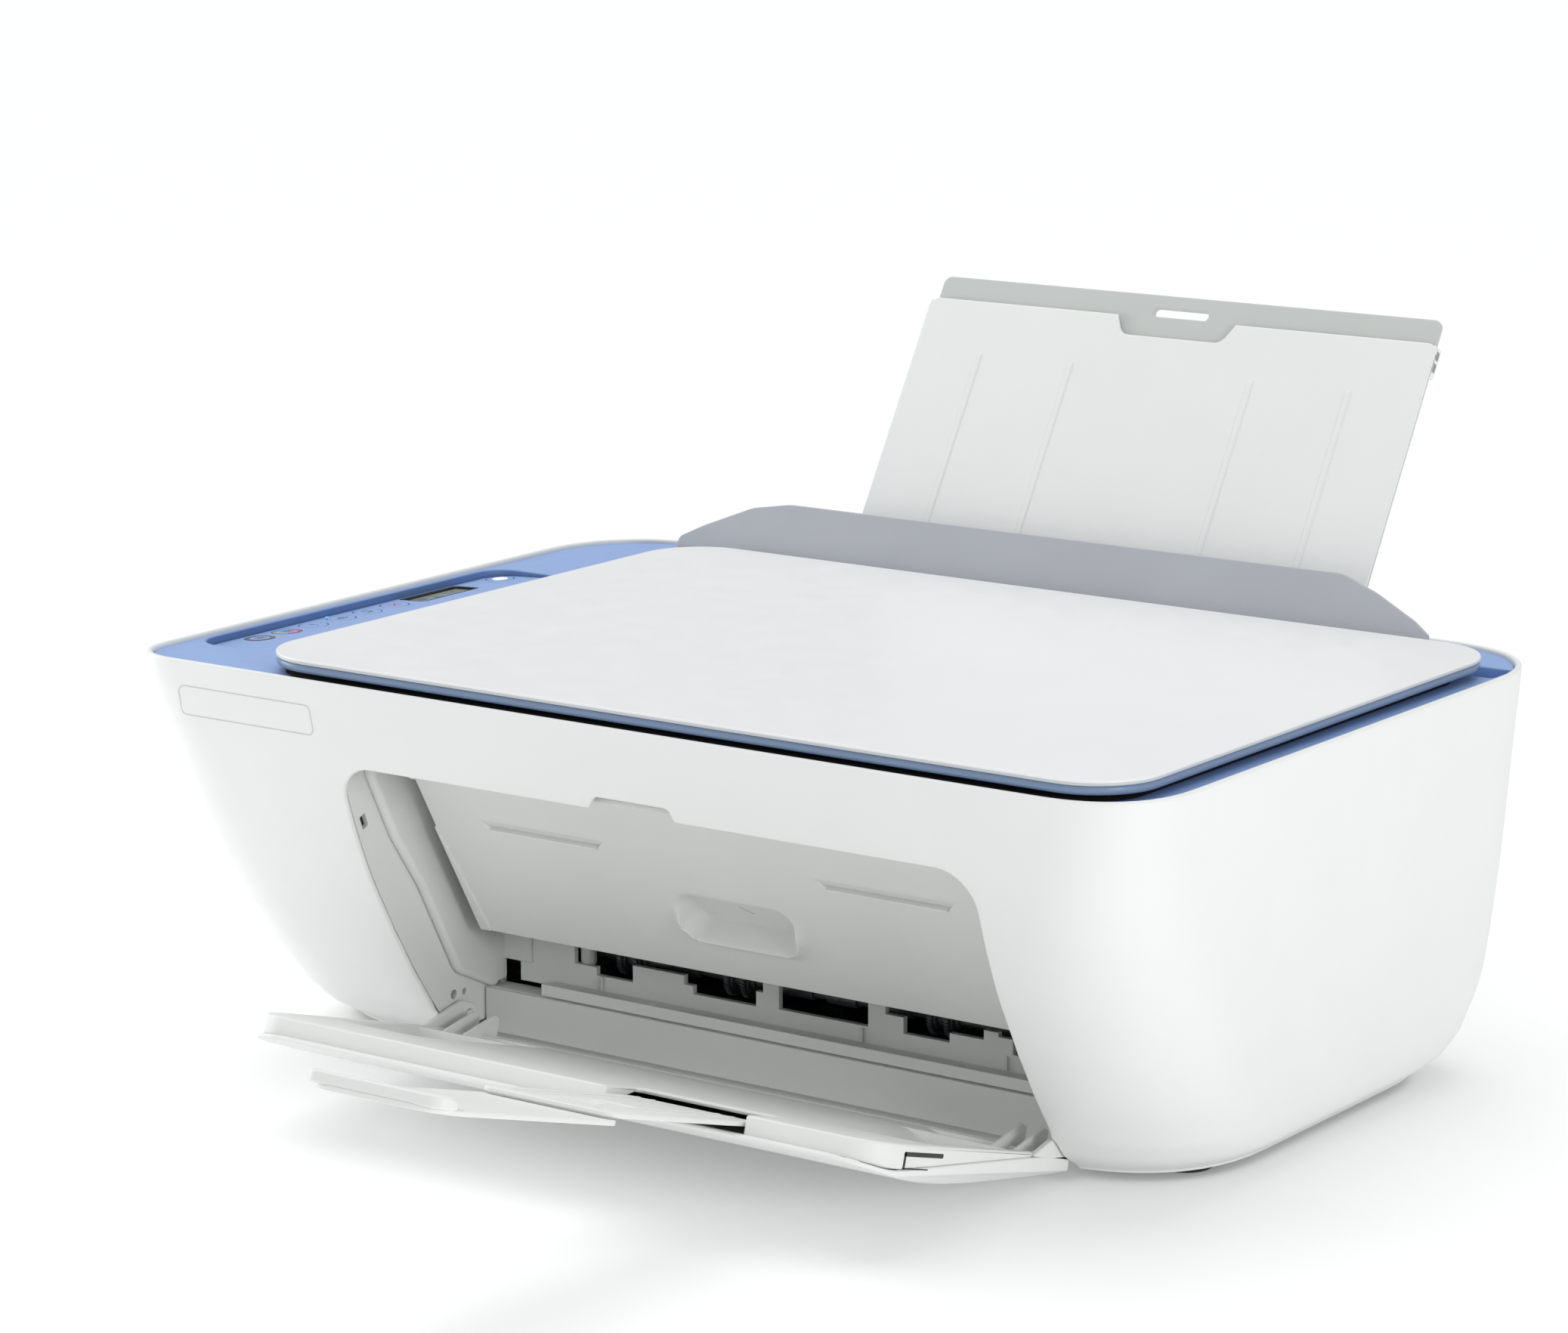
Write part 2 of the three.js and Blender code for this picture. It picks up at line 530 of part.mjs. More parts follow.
function transferOutline(grow) {
  const points = [];
  for (const [axis, radius, start] of [[FEED_AXIS, TRANSFER.feed, -90], [EXIT_AXIS, TRANSFER.exit, 90]]) {
    for (let i = 0; i <= 12; i++) {
      const a = (start + 15 * i) * DEG;
      points.push([axis.y + (radius + grow) * Math.cos(a), axis.z + (radius + grow) * Math.sin(a)]);
    }
  }
  return points;
}
const transferBand = (grow, half) => prismX(transferOutline(grow), TRANSFER.x - half, TRANSFER.x + half);
add("transfer_belt", cut(transferBand(1.6, 2), [transferBand(0.4, 5)]), RUBBER);
add("pinch_roller", rollerShaft(PINCH_AXIS, 2, 5.4, 12, -90, 132, ROLLER_X), RUBBER);

function starWheels() {
  const teeth = 14;
  const outline = (x) => {
    const points = [];
    for (let i = 0; i < 2 * teeth; i++) {
      const r = i % 2 ? 5.4 : 6.5;
      const a = (i / (2 * teeth)) * 2 * Math.PI;
      points.push([STAR_AXIS.y + r * Math.cos(a), STAR_AXIS.z + r * Math.sin(a)]);
    }
    return prismX(points, x - 0.8, x + 0.8);
  };
  const pairs = [-61, -13, 74, 121].flatMap((x) => [x - 3.5, x + 3.5]);
  const shaft = rod("x", 1.6, -102, 142, [STAR_AXIS.y, STAR_AXIS.z], 10);
  const hubs = [-61, -13, 31, 54, 74, 97, 121].map((x) => rod("x", 3, x - 7, x + 7, [STAR_AXIS.y, STAR_AXIS.z], 10));
  return join([shaft, ...hubs, ...pairs.map(outline)]);
}
add("star_wheels", starWheels(), BLACK);

const pickPiece = rollerShaft(PICK_AXIS, 3, 12, 30, -100, 152, [PAPER_MID], 24)
  .add(gear(PICK_AXIS, 10, 18, 148, 152));
add("pick_roller", pickPiece, RUBBER);

// ---------------------------------------------------------------- chassis and drive
function chassis() {
  const side = [[-52, 16], [-34, 16], [50, 18], [50, 98], [-30, 98], [-52, 70]];
  const walls = [CHASSIS.left, CHASSIS.right].map((x) => prismX(side, x - 1.2, x + 1.2));
  const beam = box(CHASSIS.left, CHASSIS.right, 46, 49, 50, 98);
  const legs = [-130, 140].map((x) => box(x, x + 12, 46, 49, 8, 60));
  const bores = [
    [EXIT_AXIS, 3.2], [FEED_AXIS, 3.6],
  ].map(([axis, r]) => rod("x", r, CHASSIS.left - 20, CHASSIS.right + 20, [axis.y, axis.z], 16));
  return cut(join([...walls, beam, ...legs]), bores);
}
add("chassis", chassis(), STEEL);
add("carriage_rail", rod("x", RAIL.radius, CHASSIS.left + 1.6, CHASSIS.right - 1.6, [RAIL.y, RAIL.z], 18), STEEL);
add("encoder_strip", box(CHASSIS.left + 2, CHASSIS.right - 2, 40.4, 41.2, 84, 91), SMOKE);

function carriage() {
  const { left, right, front, back, bottom, top } = CARRIAGE;
  const body = box(left, right, front, back, bottom, 84);
  const spine = box(left + 6, right - 6, 14, RAIL.y + 8, RAIL.z - 9, 84);
  const clip = box(left + 20, right - 20, 14, 38, 83, top);
  const nests = [[left + 2, left + 26.6], [right - 26.6, right - 2]].map(([x0, x1]) => box(x0, x1, front - 1, 10, bottom + 8, 78));
  const mouths = [[left + 5, left + 23.6], [right - 23.6, right - 5]].map(([x0, x1]) => box(x0, x1, -20, 4, 0, bottom + 10));
  const bore = rod("x", RAIL.radius + 0.4, 0, 300, [RAIL.y, RAIL.z], 18);
  return cut(join([body, spine, clip]), [...nests, ...mouths, bore]);
}
add("carriage", carriage(), BLACK);

for (const [name, x0, material] of [
  ["black_cartridge", CARRIAGE.left + 2.4, BLACK], ["colour_cartridge", CARRIAGE.right - 26.2, MID_GREY],
]) {
  const { bottom } = CARRIAGE;
  const x1 = x0 + 23.8;
  const profile = [[-33.6, 40], [9.5, bottom + 8.5], [9.5, 74], [2, 77.4], [-30, 77.4], [-33.6, 68]];
  const head = box(x0 + 5, x1 - 5, -18, 2, bottom - 1, bottom + 12);
  add(name, prismX(profile, x0, x1).add(head), material);
}

const { y: beltY, bottom: beltLow, top: beltHigh, radius: beltR, left: beltLeft, right: beltRight } = BELT;
function beltLoop(grow) {
  const r = beltR + grow;
  return roundedOutline(beltLeft - r, beltRight + r, beltY - r, beltY + r, r - 0.01, 8);
}
const loop = cut(prismZ(beltLoop(1.4), beltLow + 0.4, beltHigh - 0.4), [prismZ(beltLoop(0.3), 0, 200)]);
add("drive_belt", loop, RUBBER);
const pulley = (x, low) => rod("z", beltR, beltLow, beltHigh, [x, beltY], 20).add(rod("z", 2, low, 110, [x, beltY], 12));
add("motor_pulley", pulley(beltLeft, 98.2), STEEL);
add("idler_pulley", pulley(beltRight, 98.5), LIGHT_GREY);
add("carriage_motor", rod("z", 9.6, 76.4, 97.6, [beltLeft, beltY - 0.6], 24), STEEL);

function feedMotor() {
  const can = rod("x", 12, CHASSIS.left + 1.6, CHASSIS.left + 26, [5, 42], 24);
  return can.add(rod("x", 2, CHASSIS.left + 1.5, CHASSIS.left + 27, [5, 42], 12));
}
add("feed_motor", feedMotor(), STEEL);

function serviceStation() {
  const base = box(153, 193, -30, 22, 11, 24);
  const wipers = [box(157, 159, -16, -2, 23, 28.6), box(185, 187, -16, -2, 23, 28.6)];
  return join([base, ...wipers]);
}
add("service_station", serviceStation(), BLACK);

// ---------------------------------------------------------------- electrics
add("power_supply", box(40, 140, 88, 112, 10, 50), BLACK);
function mainBoard() {
  const board = box(-80, 30, 80, 110, 9, 10.8);
  const parts = [[-70, -48, 84, 100], [-36, -22, 86, 96], [-6, 20, 88, 106]];
  return join([board, ...parts.map(([x0, x1, y0, y1]) => box(x0, x1, y0, y1, 10.6, 16))]);
}
add("main_board", mainBoard(), BOARD);
for (const [name, key, material] of [["power_inlet", "inlet", BLACK], ["usb_port", "usb", STEEL]]) {
  const [x0, x1, z0, z1] = SOCKETS[key];
  const face = sectionAt((z0 + z1) / 2)[3];
  const body = box(x0 + GAP, x1 - GAP, face - 22, face + 0.5, z0 + GAP, z1 - GAP);
  const mouth = box(x0 + 4, x1 - 4, face - 14, face + 9, z0 + 4, z1 - 4);
  const tongue = box(x0 + 6, x1 - 6, face - 15, face - 3, (z0 + z1) / 2 - 1, (z0 + z1) / 2 + 1);
  add(name, cut(body, [mouth]).add(tongue), material);
}

function rearCover() {
  const [x0, x1, z0, z1] = REAR_HOLE;
  const profile = [[142, z0 - 4], [150, z0 + 2], [154, z0 + 16], [154, z1 - 16], [150, z1 - 2], [144.5, z1 + 4], [142, z1 + 4]];
  const cover = prismX(profile, x0 - 6, x1 + 6);
  const hollow = prismX(profile.map(([y, z]) => [y - 2.4, z + (z > 75 ? -2.4 : 2.4)]), x0 - 3.6, x1 + 3.6);
  const room = box(x0 - 3.6, x1 + 3.6, 120, 144, z0 - 1, z1 + 1);
  return cut(cover, [hollow, room, loft(SHELL_HEIGHTS, -GAP)]);
}
add("rear_cover", rearCover(), LIGHT_GREY);

// ---------------------------------------------------------------- output tray
// Inside the tray's group, -Y runs out along the open tray and +Z is square to its inner face.
const tray = new THREE.Group();
tray.position.set(0, HINGE.y, HINGE.z);
tray.rotation.x = -TRAY_SLOPE;
printer.add(tray);

function closedToTray([y, z]) {
  const a = TRAY_OPENS + TRAY_SLOPE;
  const dy = y - HINGE.y;
  const dz = z - HINGE.z;
  return [dy * Math.cos(a) - dz * Math.sin(a), dy * Math.sin(a) + dz * Math.cos(a)];
}

function skinCurve(inset, z0, z1, count) {
  const points = [];
  for (let i = 0; i <= count; i++) {
    const z = z0 + ((z1 - z0) * i) / count;
    const slope = (frontAt(z + 0.5) - frontAt(z - 0.5)) / 1;
    const k = inset / Math.hypot(1, slope);
    points.push(closedToTray([frontAt(z) + k, z - slope * k]));
  }
  return points;
}

const TRAY_X = { left: OPEN.left + 0.6, right: OPEN.right - 0.6 };

function outputTray() {
  const outer = skinCurve(0, 5, OPEN.top - 0.6, 12);
  const tipY = outer[outer.length - 1][0];
  const full = prismX([...outer, [-TRAY_TIP, TRAY_FACE], [-11, TRAY_FACE], [-3, TRAY_FACE]], TRAY_X.left, TRAY_X.right);
  const inner = skinCurve(TRAY_SKIN, 12, OPEN.top - 3.6, 10);
  const innerTip = inner[inner.length - 1][0];
  const hollowOutline = [...inner, [innerTip, 5], [-8, 5], [-8, inner[0][1]]];
  const hollow = prismX(hollowOutline, TRAY_X.left + 2.4, TRAY_X.right - 2.4);
  const corner = roundedOutline(TRAY_X.left, TRAY_X.right, tipY - 0.1, 60, OPEN.radius + 2);
  const mouth = box(ARM.left - 0.8, ARM.right + 0.8, -140, -105, -12.1, 0);
  const sides = [[TRAY_X.left, TRAY_X.left + 2.4], [TRAY_X.right - 2.4, TRAY_X.right]];
  const ears = sides.map(([x0, x1]) => prismX([[-24, TRAY_FACE - 1], [-24, TRAY_FACE], [-4, 4.6], [3.4, 3.4], [4.6, -3], [0, -7]], x0, x1));
  const bores = rod("x", 2.6, -300, 300, [0, 0], 12);
  return cut(join([cut(full, [hollow]), ...ears]).intersect(prismZ(corner, -60, 60)), [mouth, bores]);
}
add("output_tray", outputTray(), WHITE, tray);

const ARM_INNER = 98.5; // outer end of the first arm when it is pushed in
const ARM_OUTER = 190; // the same end when it is pulled out
const ARM_LENGTH = 81.5;
const END_LENGTH = 91;

function trayLiner() {
  const { left, right } = TRAY_X;
  const outline = roundedOutline(left + 2.8, right - 2.8, -TRAY_TIP + 3.4, -12, 14);
  const fingerNotch = box(ARM.left - 1.6, ARM.right + 1.6, -140, -ARM_INNER + 0.4, -20, 20);
  return cut(prismZ(outline, TRAY_FACE - 2, TRAY_FACE), [fingerNotch]);
}
add("tray_liner", trayLiner(), WHITE, tray);

const armPlate = (end, length, z0, z1) =>
  prismZ(roundedOutline(ARM.left, ARM.right, -end, -end + length, 5), z0, z1);
add("tray_extender", armPlate(ARM_OUTER, ARM_LENGTH, -9.2, -7.5), WHITE, tray);
function extenderEnd() {
  const lip = prismZ(roundedOutline(ARM.left, ARM.right, -TRAY_REACH, -TRAY_REACH + 10.2, 5), -10, -6);
  return armPlate(TRAY_REACH, END_LENGTH, -11.6, -9.6).add(lip);
}
add("extender_end", extenderEnd(), WHITE, tray);

// ---------------------------------------------------------------- place the origin
// The origin is the middle of the printer's whole box, on the desk.
printer.updateMatrixWorld(true);
const bounds = new THREE.Box3().setFromObject(printer, true);
const middle = bounds.getCenter(new THREE.Vector3());
printer.position.set(-middle.x, -middle.y, -bounds.min.z);

export default printer;
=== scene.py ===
"""Looks of an inkjet printer with a flatbed scanner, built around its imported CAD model."""

import functools
from math import acos, atan2, ceil, copysign, cos, degrees, hypot, pi, radians, sin, tan

import bpy
import numpy as np
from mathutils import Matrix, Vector
from mathutils.geometry import delaunay_2d_cdt


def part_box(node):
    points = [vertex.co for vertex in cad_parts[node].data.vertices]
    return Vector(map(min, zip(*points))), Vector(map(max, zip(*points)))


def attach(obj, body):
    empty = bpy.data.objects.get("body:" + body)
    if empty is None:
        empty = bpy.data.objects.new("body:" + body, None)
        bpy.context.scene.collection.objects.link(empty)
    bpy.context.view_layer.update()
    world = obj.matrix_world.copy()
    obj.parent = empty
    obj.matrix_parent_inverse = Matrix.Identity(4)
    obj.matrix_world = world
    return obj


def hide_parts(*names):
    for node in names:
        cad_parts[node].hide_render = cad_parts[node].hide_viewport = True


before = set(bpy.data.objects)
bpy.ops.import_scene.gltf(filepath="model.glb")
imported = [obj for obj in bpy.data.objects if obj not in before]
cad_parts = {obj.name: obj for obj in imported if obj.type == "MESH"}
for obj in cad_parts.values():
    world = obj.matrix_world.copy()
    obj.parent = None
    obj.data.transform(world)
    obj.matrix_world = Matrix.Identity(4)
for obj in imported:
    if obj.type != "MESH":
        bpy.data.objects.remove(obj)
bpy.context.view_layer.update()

# Shapes are drawn in millimetres, with X 0 in the middle of the shell, the shell's rim at
# Y -150 in front, and Z 0 on the desk. SHIFT takes them to the frame's own origin.
MM = 0.001
RIM_FRONT = -150.0
RIM_TOP = 148.0
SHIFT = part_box("outer_shell")[0].y / MM - RIM_FRONT
ARC_STEP = radians(9)

# ---- outlines


def anticlockwise(outline):
    p = np.asarray(outline, float)
    ahead = np.roll(p, -1, 0)
    area = (p[:, 0] * ahead[:, 1] - ahead[:, 0] * p[:, 1]).sum()
    return p if area > 0 else p[::-1]


def rounded(corners):
    """A closed outline through (a, b, radius) corners, each one rounded to its radius."""
    points = []
    for i, (a, b, radius) in enumerate(corners):
        here = np.array((a, b), float)
        back = np.array(corners[i - 1][:2], float) - here
        ahead = np.array(corners[(i + 1) % len(corners)][:2], float) - here
        back /= np.linalg.norm(back)
        ahead /= np.linalg.norm(ahead)
        half = acos(float(np.clip(back @ ahead, -1, 1))) / 2
        if radius <= 0 or half > radians(89.5):
            points.append(here)
            continue
        centre = here + (back + ahead) / np.linalg.norm(back + ahead) * radius / sin(half)
        start = here + back * radius / tan(half) - centre
        end = here + ahead * radius / tan(half) - centre
        first = atan2(start[1], start[0])
        turn = (atan2(end[1], end[0]) - first + pi) % (2 * pi) - pi
        steps = max(2, ceil(abs(turn) / ARC_STEP))
        for k in range(steps + 1):
            angle = first + turn * k / steps
            points.append(centre + radius * np.array((cos(angle), sin(angle))))
    return anticlockwise(points)


def rect(a0, a1, b0, b1, radius=0.0):
    return rounded([(a0, b0, radius), (a1, b0, radius), (a1, b1, radius), (a0, b1, radius)])


def tongue(left, right, tip, foot, tip_radius, foot_radius):
    """A rectangle whose two corners at the tip are rounder than the two at its foot."""
    return rounded([(left, tip, tip_radius), (right, tip, tip_radius),
                    (right, foot, foot_radius), (left, foot, foot_radius)])


def around(box, gap, radius):
    """A rounded rectangle a gap outside a box, which is (left, right, near, far)."""
    a0, a1, b0, b1 = box
    return rect(a0 - gap, a1 + gap, b0 - gap, b1 + gap, radius)


def disc(a, b, radius, sides=32):
    turns = np.arange(sides) * 2 * pi / sides
    return np.stack((a + radius * np.cos(turns), b + radius * np.sin(turns)), 1)


def offset(outline, amount):
    """The closed outline moved outwards by amount, or inwards where it is negative."""
    p = anticlockwise(outline)
    ahead = np.roll(p, -1, 0) - p
    ahead /= np.linalg.norm(ahead, axis=1)[:, None]
    out = np.stack((ahead[:, 1], -ahead[:, 0]), 1)
    before = np.roll(out, 1, 0)
    share = np.maximum(1 + (out * before).sum(1), 0.3)
    return p + amount * (out + before) / share[:, None]


def divided(outline, step, along=(0, 1)):
    """The closed outline with its long sides cut into parts, counted by their reach along those axes."""
    return np.array([p for a, b in zip(outline, np.roll(outline, -1, 0))
                     for p in np.linspace(a, b, 2 + int(abs(b - a)[list(along)].max() // step))[:-1]])


def inside(points, outline):
    """Which of the points lie inside a closed outline."""
    found = np.zeros(len(points), bool)
    x, y = points[:, 0], points[:, 1]
    for (x0, y0), (x1, y1) in zip(outline, np.roll(outline, -1, 0)):
        if y0 != y1:
            found ^= ((y0 > y) != (y1 > y)) & (x < (x1 - x0) * (y - y0) / (y1 - y0) + x0)
    return found


def fill(outline, holes=(), lines=()):
    """Points and triangles that fill an outline around its holes. The mesh keeps to the lines."""
    points, edges = [], []
    for line, closed in [(loop, True) for loop in (outline, *holes)] + [(l, False) for l in lines]:
        base, count = len(points), len(line)
        points += [Vector((float(a), float(b))) for a, b in line]
        edges += [(base + i, base + (i + 1) % count) for i in range(count if closed else count - 1)]
    made = delaunay_2d_cdt(points, edges, [], 0, 1e-5)
    flat = np.array([tuple(v) for v in made[0]], float)
    faces = np.array(made[2], int)
    first, second, third = (flat[faces[:, k]] for k in range(3))
    one, two = second - first, third - first
    area = one[:, 0] * two[:, 1] - one[:, 1] * two[:, 0]
    middle = (first + second + third) / 3
    keep = inside(middle, outline) & (np.abs(area) > 1e-9)
    for hole in holes:
        keep &= ~inside(middle, hole)
    faces[area < 0] = faces[area < 0][:, ::-1]
    faces = faces[keep]
    used, new = np.unique(faces, return_inverse=True)
    return flat[used], new.reshape(faces.shape)


def mesh_lines(outline, step):
    """Single points, about step apart, that fill an outline. Each one counts as a line of the mesh."""
    (a0, b0), (a1, b1) = outline.min(0), outline.max(0)
    columns = np.linspace(a0, a1, max(2, round((a1 - a0) / step)))
    rows = np.linspace(b0, b1, max(3, round((b1 - b0) / step)))[1:-1]
    grid = np.stack(np.meshgrid(columns, rows), -1).reshape(-1, 2)
    grid = grid[inside(grid, offset(outline, -0.4 * step))]
    return [[p] for p in grid]


# ---- solids


def unit(vectors):
    return vectors / np.maximum(np.linalg.norm(vectors, axis=-1, keepdims=True), 1e-12)


def wall(outer, inner, faces, radius, steps=3):
    """A closed solid between two matching sheets, with rounded free edges."""
    outer, inner = np.asarray(outer, float), np.asarray(inner, float)
    normal = unit(outer - inner)
    edges = {(a, b) for f in faces for a, b in zip(f, (*f[1:], f[0]))}
    free = [(a, b) for a, b in edges if (b, a) not in edges]
    after = dict(sorted(free))
    before = {b: a for a, b in after.items()}
    rim = sorted(v for v in after if v in before)
    place = {v: i for i, v in enumerate(rim)}
    at, come, go = (outer[[f(v) for v in rim]] for f in (lambda v: v, before.get, after.get))
    n = normal[rim]
    one, two = unit(np.cross(unit(at - come), n)), unit(np.cross(unit(go - at), n))
    share = np.maximum(1 + (one * two).sum(1), 0.35)[:, None]
    out = (one + two) / share
    foot = inner[rim]
    turns = [pi / 2 * k / steps for k in range(1, steps + 1)]
    rings = [at + out * radius * sin(t) - n * radius * (1 - cos(t)) for t in turns]
    rings += [foot + out * radius * sin(t) + n * radius * (1 - cos(t)) for t in turns[::-1]]
    count = len(outer)
    verts = [outer, inner, *rings]
    ring_at = [2 * count + len(rim) * i for i in range(len(rings))]
    solid = [tuple(f) for f in faces] + [tuple(v + count for v in reversed(f)) for f in faces]
    for edge in free:
        if all(v in place for v in edge):
            here, there = ([v, *(start + place[v] for start in ring_at), v + count] for v in edge)
            solid += zip(there, here, here[1:], there[1:])
    return np.concatenate(verts), solid


class Axes:
    """A drawing plane: its origin, and the directions of a drawing's two sides and its height."""

    def __init__(self, origin, a, b):
        self.origin = np.array(origin, float)
        self.sides = np.array((a, b, np.cross(a, b)), float)

    def __call__(self, flat, height):
        height = np.broadcast_to(np.asarray(height, float), len(flat))
        return self.origin + np.column_stack((flat, height)) @ self.sides


def slab(axes, outline, low, high, radius=0.5, holes=(), steps=3, step=None, lines=()):
    """A plate on a drawing plane, from low to high, which are heights or functions of the place."""
    outline = offset(outline, -radius)
    holes = [offset(hole, radius) for hole in holes]
    flat, faces = fill(outline, holes, [*(mesh_lines(outline, step) if step else ()), *lines])
    top, foot = (h(*flat.T) if callable(h) else h for h in (high, low))
    return wall(axes(flat, top), axes(flat, foot), faces.tolist(), radius, steps)


ALONG_X = Axes((0, 0, 0), (0, 1, 0), (0, 0, 1))
ALONG_Z = Axes((0, 0, 0), (1, 0, 0), (0, 1, 0))
FACING = Axes((0, 0, 0), (1, 0, 0), (0, 0, 1))  # heights count towards the front
BACKING = Axes((0, 0, 0), (-1, 0, 0), (0, 0, 1))  # heights count towards the back


bar_x = functools.partial(slab, ALONG_X)
bar_z = functools.partial(slab, ALONG_Z)


def bar_y(outline, y0, y1, radius=0.5, **more):
    return slab(FACING, outline, -y1, -y0, radius, **more)


def block(x0, x1, y0, y1, z0, z1, radius=0.5):
    return bar_z(rect(x0, x1, y0, y1, radius), z0, z1, radius)


def painted(material, *solids):
    return [(solid, material) for solid in solids]


def smooth(t):
    t = np.clip(t, 0, 1)
    return t * t * (3 - 2 * t)


# ---- materials


def node(tree, kind, **inputs):
    made = tree.nodes.new(kind)
    for key, value in inputs.items():
        if key in made.inputs:
            made.inputs[key].default_value = value
        else:
            setattr(made, key, value)
    return made


def noise(tree, scale, detail=3.0, rough=0.55):
    """Noise over the object's own metres. scale is the size of its cells, in metres."""
    where = tree.nodes.get("Where") or node(tree, "ShaderNodeTexCoord", name="Where")
    made = node(tree, "ShaderNodeTexNoise", Scale=1 / scale, Detail=detail, Roughness=rough)
    tree.links.new(where.outputs["Object"], made.inputs["Vector"])
    return made.outputs["Fac"]


def spread(tree, value, low, high, start=0.3, end=0.7):
    made = node(tree, "ShaderNodeMapRange")
    for socket, number in zip(made.inputs[1:5], (start, end, low, high)):
        socket.default_value = number
    tree.links.new(value, made.inputs[0])
    return made.outputs[0]


def tone(tree, factor, dark, light):
    made = tree.nodes.new("ShaderNodeValToRGB")
    made.color_ramp.elements[0].color = (*dark, 1)
    made.color_ramp.elements[1].color = (*light, 1)
    tree.links.new(factor, made.inputs[0])
    return made.outputs["Color"]


def linear(colour):
    """A colour written as #rrggbb, as linear light."""
    parts = [int(colour[i : i + 2], 16) / 255 for i in (1, 3, 5)]
    return [p / 12.92 if p <= 0.04045 else ((p + 0.055) / 1.055) ** 2.4 for p in parts]


def shader_of(material):
    return material.node_tree.nodes["Principled BSDF"].inputs


def glows(material, colour, strength):
    inputs = shader_of(material)
    inputs["Emission Color"].default_value = (*colour, 1)
    inputs["Emission Strength"].default_value = strength
    return material


def moulded(name, colour, rough=0.42, grain=0.0007, depth=0.00003, vary=0.03, edge=0.0, **sockets):
    """Moulded plastic: a fine cast grain, slow changes of tone, and edges rubbed a little lighter."""
    material = bpy.data.materials.new(name)
    material.use_nodes = True
    tree = material.node_tree
    shader = shader_of(material)
    base = linear(colour)
    slow = noise(tree, 0.035, 2)
    dark, light = [c * (1 - vary) for c in base], [min(1, c * (1 + vary)) for c in base]
    colours = tone(tree, spread(tree, slow, 0, 1), dark, light)
    if edge:
        pointy = tree.nodes.new("ShaderNodeNewGeometry").outputs["Pointiness"]
        mix = node(tree, "ShaderNodeMix", data_type="RGBA")
        tree.links.new(spread(tree, pointy, 0, 1, 0.53, 0.62), mix.inputs[0])
        tree.links.new(colours, mix.inputs[6])
        mix.inputs[7].default_value = (*[min(1, c * (1 + edge)) for c in base], 1)
        colours = mix.outputs[2]
    tree.links.new(colours, shader["Base Color"])
    fine = noise(tree, grain, 2)
    tree.links.new(spread(tree, noise(tree, 0.012), rough - 0.05, rough + 0.05), shader["Roughness"])
    bump = node(tree, "ShaderNodeBump", Strength=0.35, Distance=depth)
    tree.links.new(fine, bump.inputs["Height"])
    tree.links.new(bump.outputs[0], shader["Normal"])
    for key, value in sockets.items():
        shader[key.replace("_", " ")].default_value = value
    return material


POLISHED = {"grain": 0.004, "depth": 0.00001}
MATT = {"grain": 0.0009, "depth": 0.00004, "vary": 0.02}
WHITE = moulded("white_shell", "#e9ebe9", 0.42, vary=0.008, edge=0.04)
# Grey painted shade for white edges: the lid's rim and the name plate's outline.
SHADED_EDGE_GREY = moulded("painted_shade_edge_grey", "#c6cacd", 0.4, vary=0.01)
# A darker blue for the recess's wall: painted shade.
SHADED_BLUE = moulded("painted_shade_blue", "#6482b4", 0.5, **MATT)
LID_WHITE = moulded("white_lid", "#eaebeb", 0.34, vary=0.006)
INNER = moulded("light_grey", "#e2e4e1", 0.5, vary=0.012)
TRAY_WHITE = moulded("tray_white", "#e6e8e5", 0.45, vary=0.01)
BLUE = moulded("blue_deck", "#8aa8da", 0.5, **MATT)
SLATE = moulded("slate_band", "#7488a6", 0.38, vary=0.02)
BLACK = moulded("black_plastic", "#1d1e21", 0.34, vary=0.15)
# Flat black painted shadow, laid where there is only shade: on the deck under the lid's edge, and beneath
# the control plate.
PAINTED_SHADOW = moulded("painted_shadow_black", "#0a0c12", 0.95, grain=0.0012, depth=0.0003, vary=0.2)
SHADE = moulded("shaded_grey", "#c3c7c4", 0.5, vary=0.012)
# The star wheels are black plastic; this lighter grey is painted light, standing for the light that reaches
# them.
LIT_WHEEL_GREY = moulded("wheel_painted_light_grey", "#4a4d52", 0.3, vary=0.1)
GLOSS = moulded("glossy_grey", "#b4b7b5", 0.12, **POLISHED, vary=0.03, Coat_Weight=0.5)
RUBBER = moulded("rubber", "#2a2a2b", 0.82, grain=0.0009, depth=0.0001, vary=0.12)
GREY = moulded("mid_grey", "#8f9190", 0.5, vary=0.04)
LINE = moulded("printed_line", "#4c5a74", 0.5, vary=0.08)
TAUPE = moulded("printed_taupe", "#625d5c", 0.5, vary=0.06)
CYAN = moulded("printed_cyan", "#2f9fc4", 0.45, vary=0.05)
RED = moulded("printed_red", "#c8466a", 0.45, vary=0.05)
YELLOW = moulded("printed_yellow", "#dcb23a", 0.45, vary=0.05)
LCD = moulded("lcd_glass", "#b9c2ae", 0.12, **POLISHED, vary=0.05, Coat_Weight=0.6)
SMOKE = moulded("smoke_shield", "#b0b4ba", 0.34, **POLISHED, vary=0.02, Alpha=0.97)
BOARD = moulded("circuit_board", "#2f6d46", 0.4, grain=0.003, depth=0.0002, vary=0.3)
FOAM = moulded("lid_foam_white", "#dddedb", 0.8, vary=0.012)


def metal(name, colour, rough=0.28):
    return moulded(name, colour, rough, grain=0.0004, depth=0.00001, vary=0.06, Metallic=1.0)


STEEL = metal("steel", "#b9bcc0")


def lamp(name, colour, strength):
    return glows(moulded(name, colour, 0.4), linear(colour), strength)


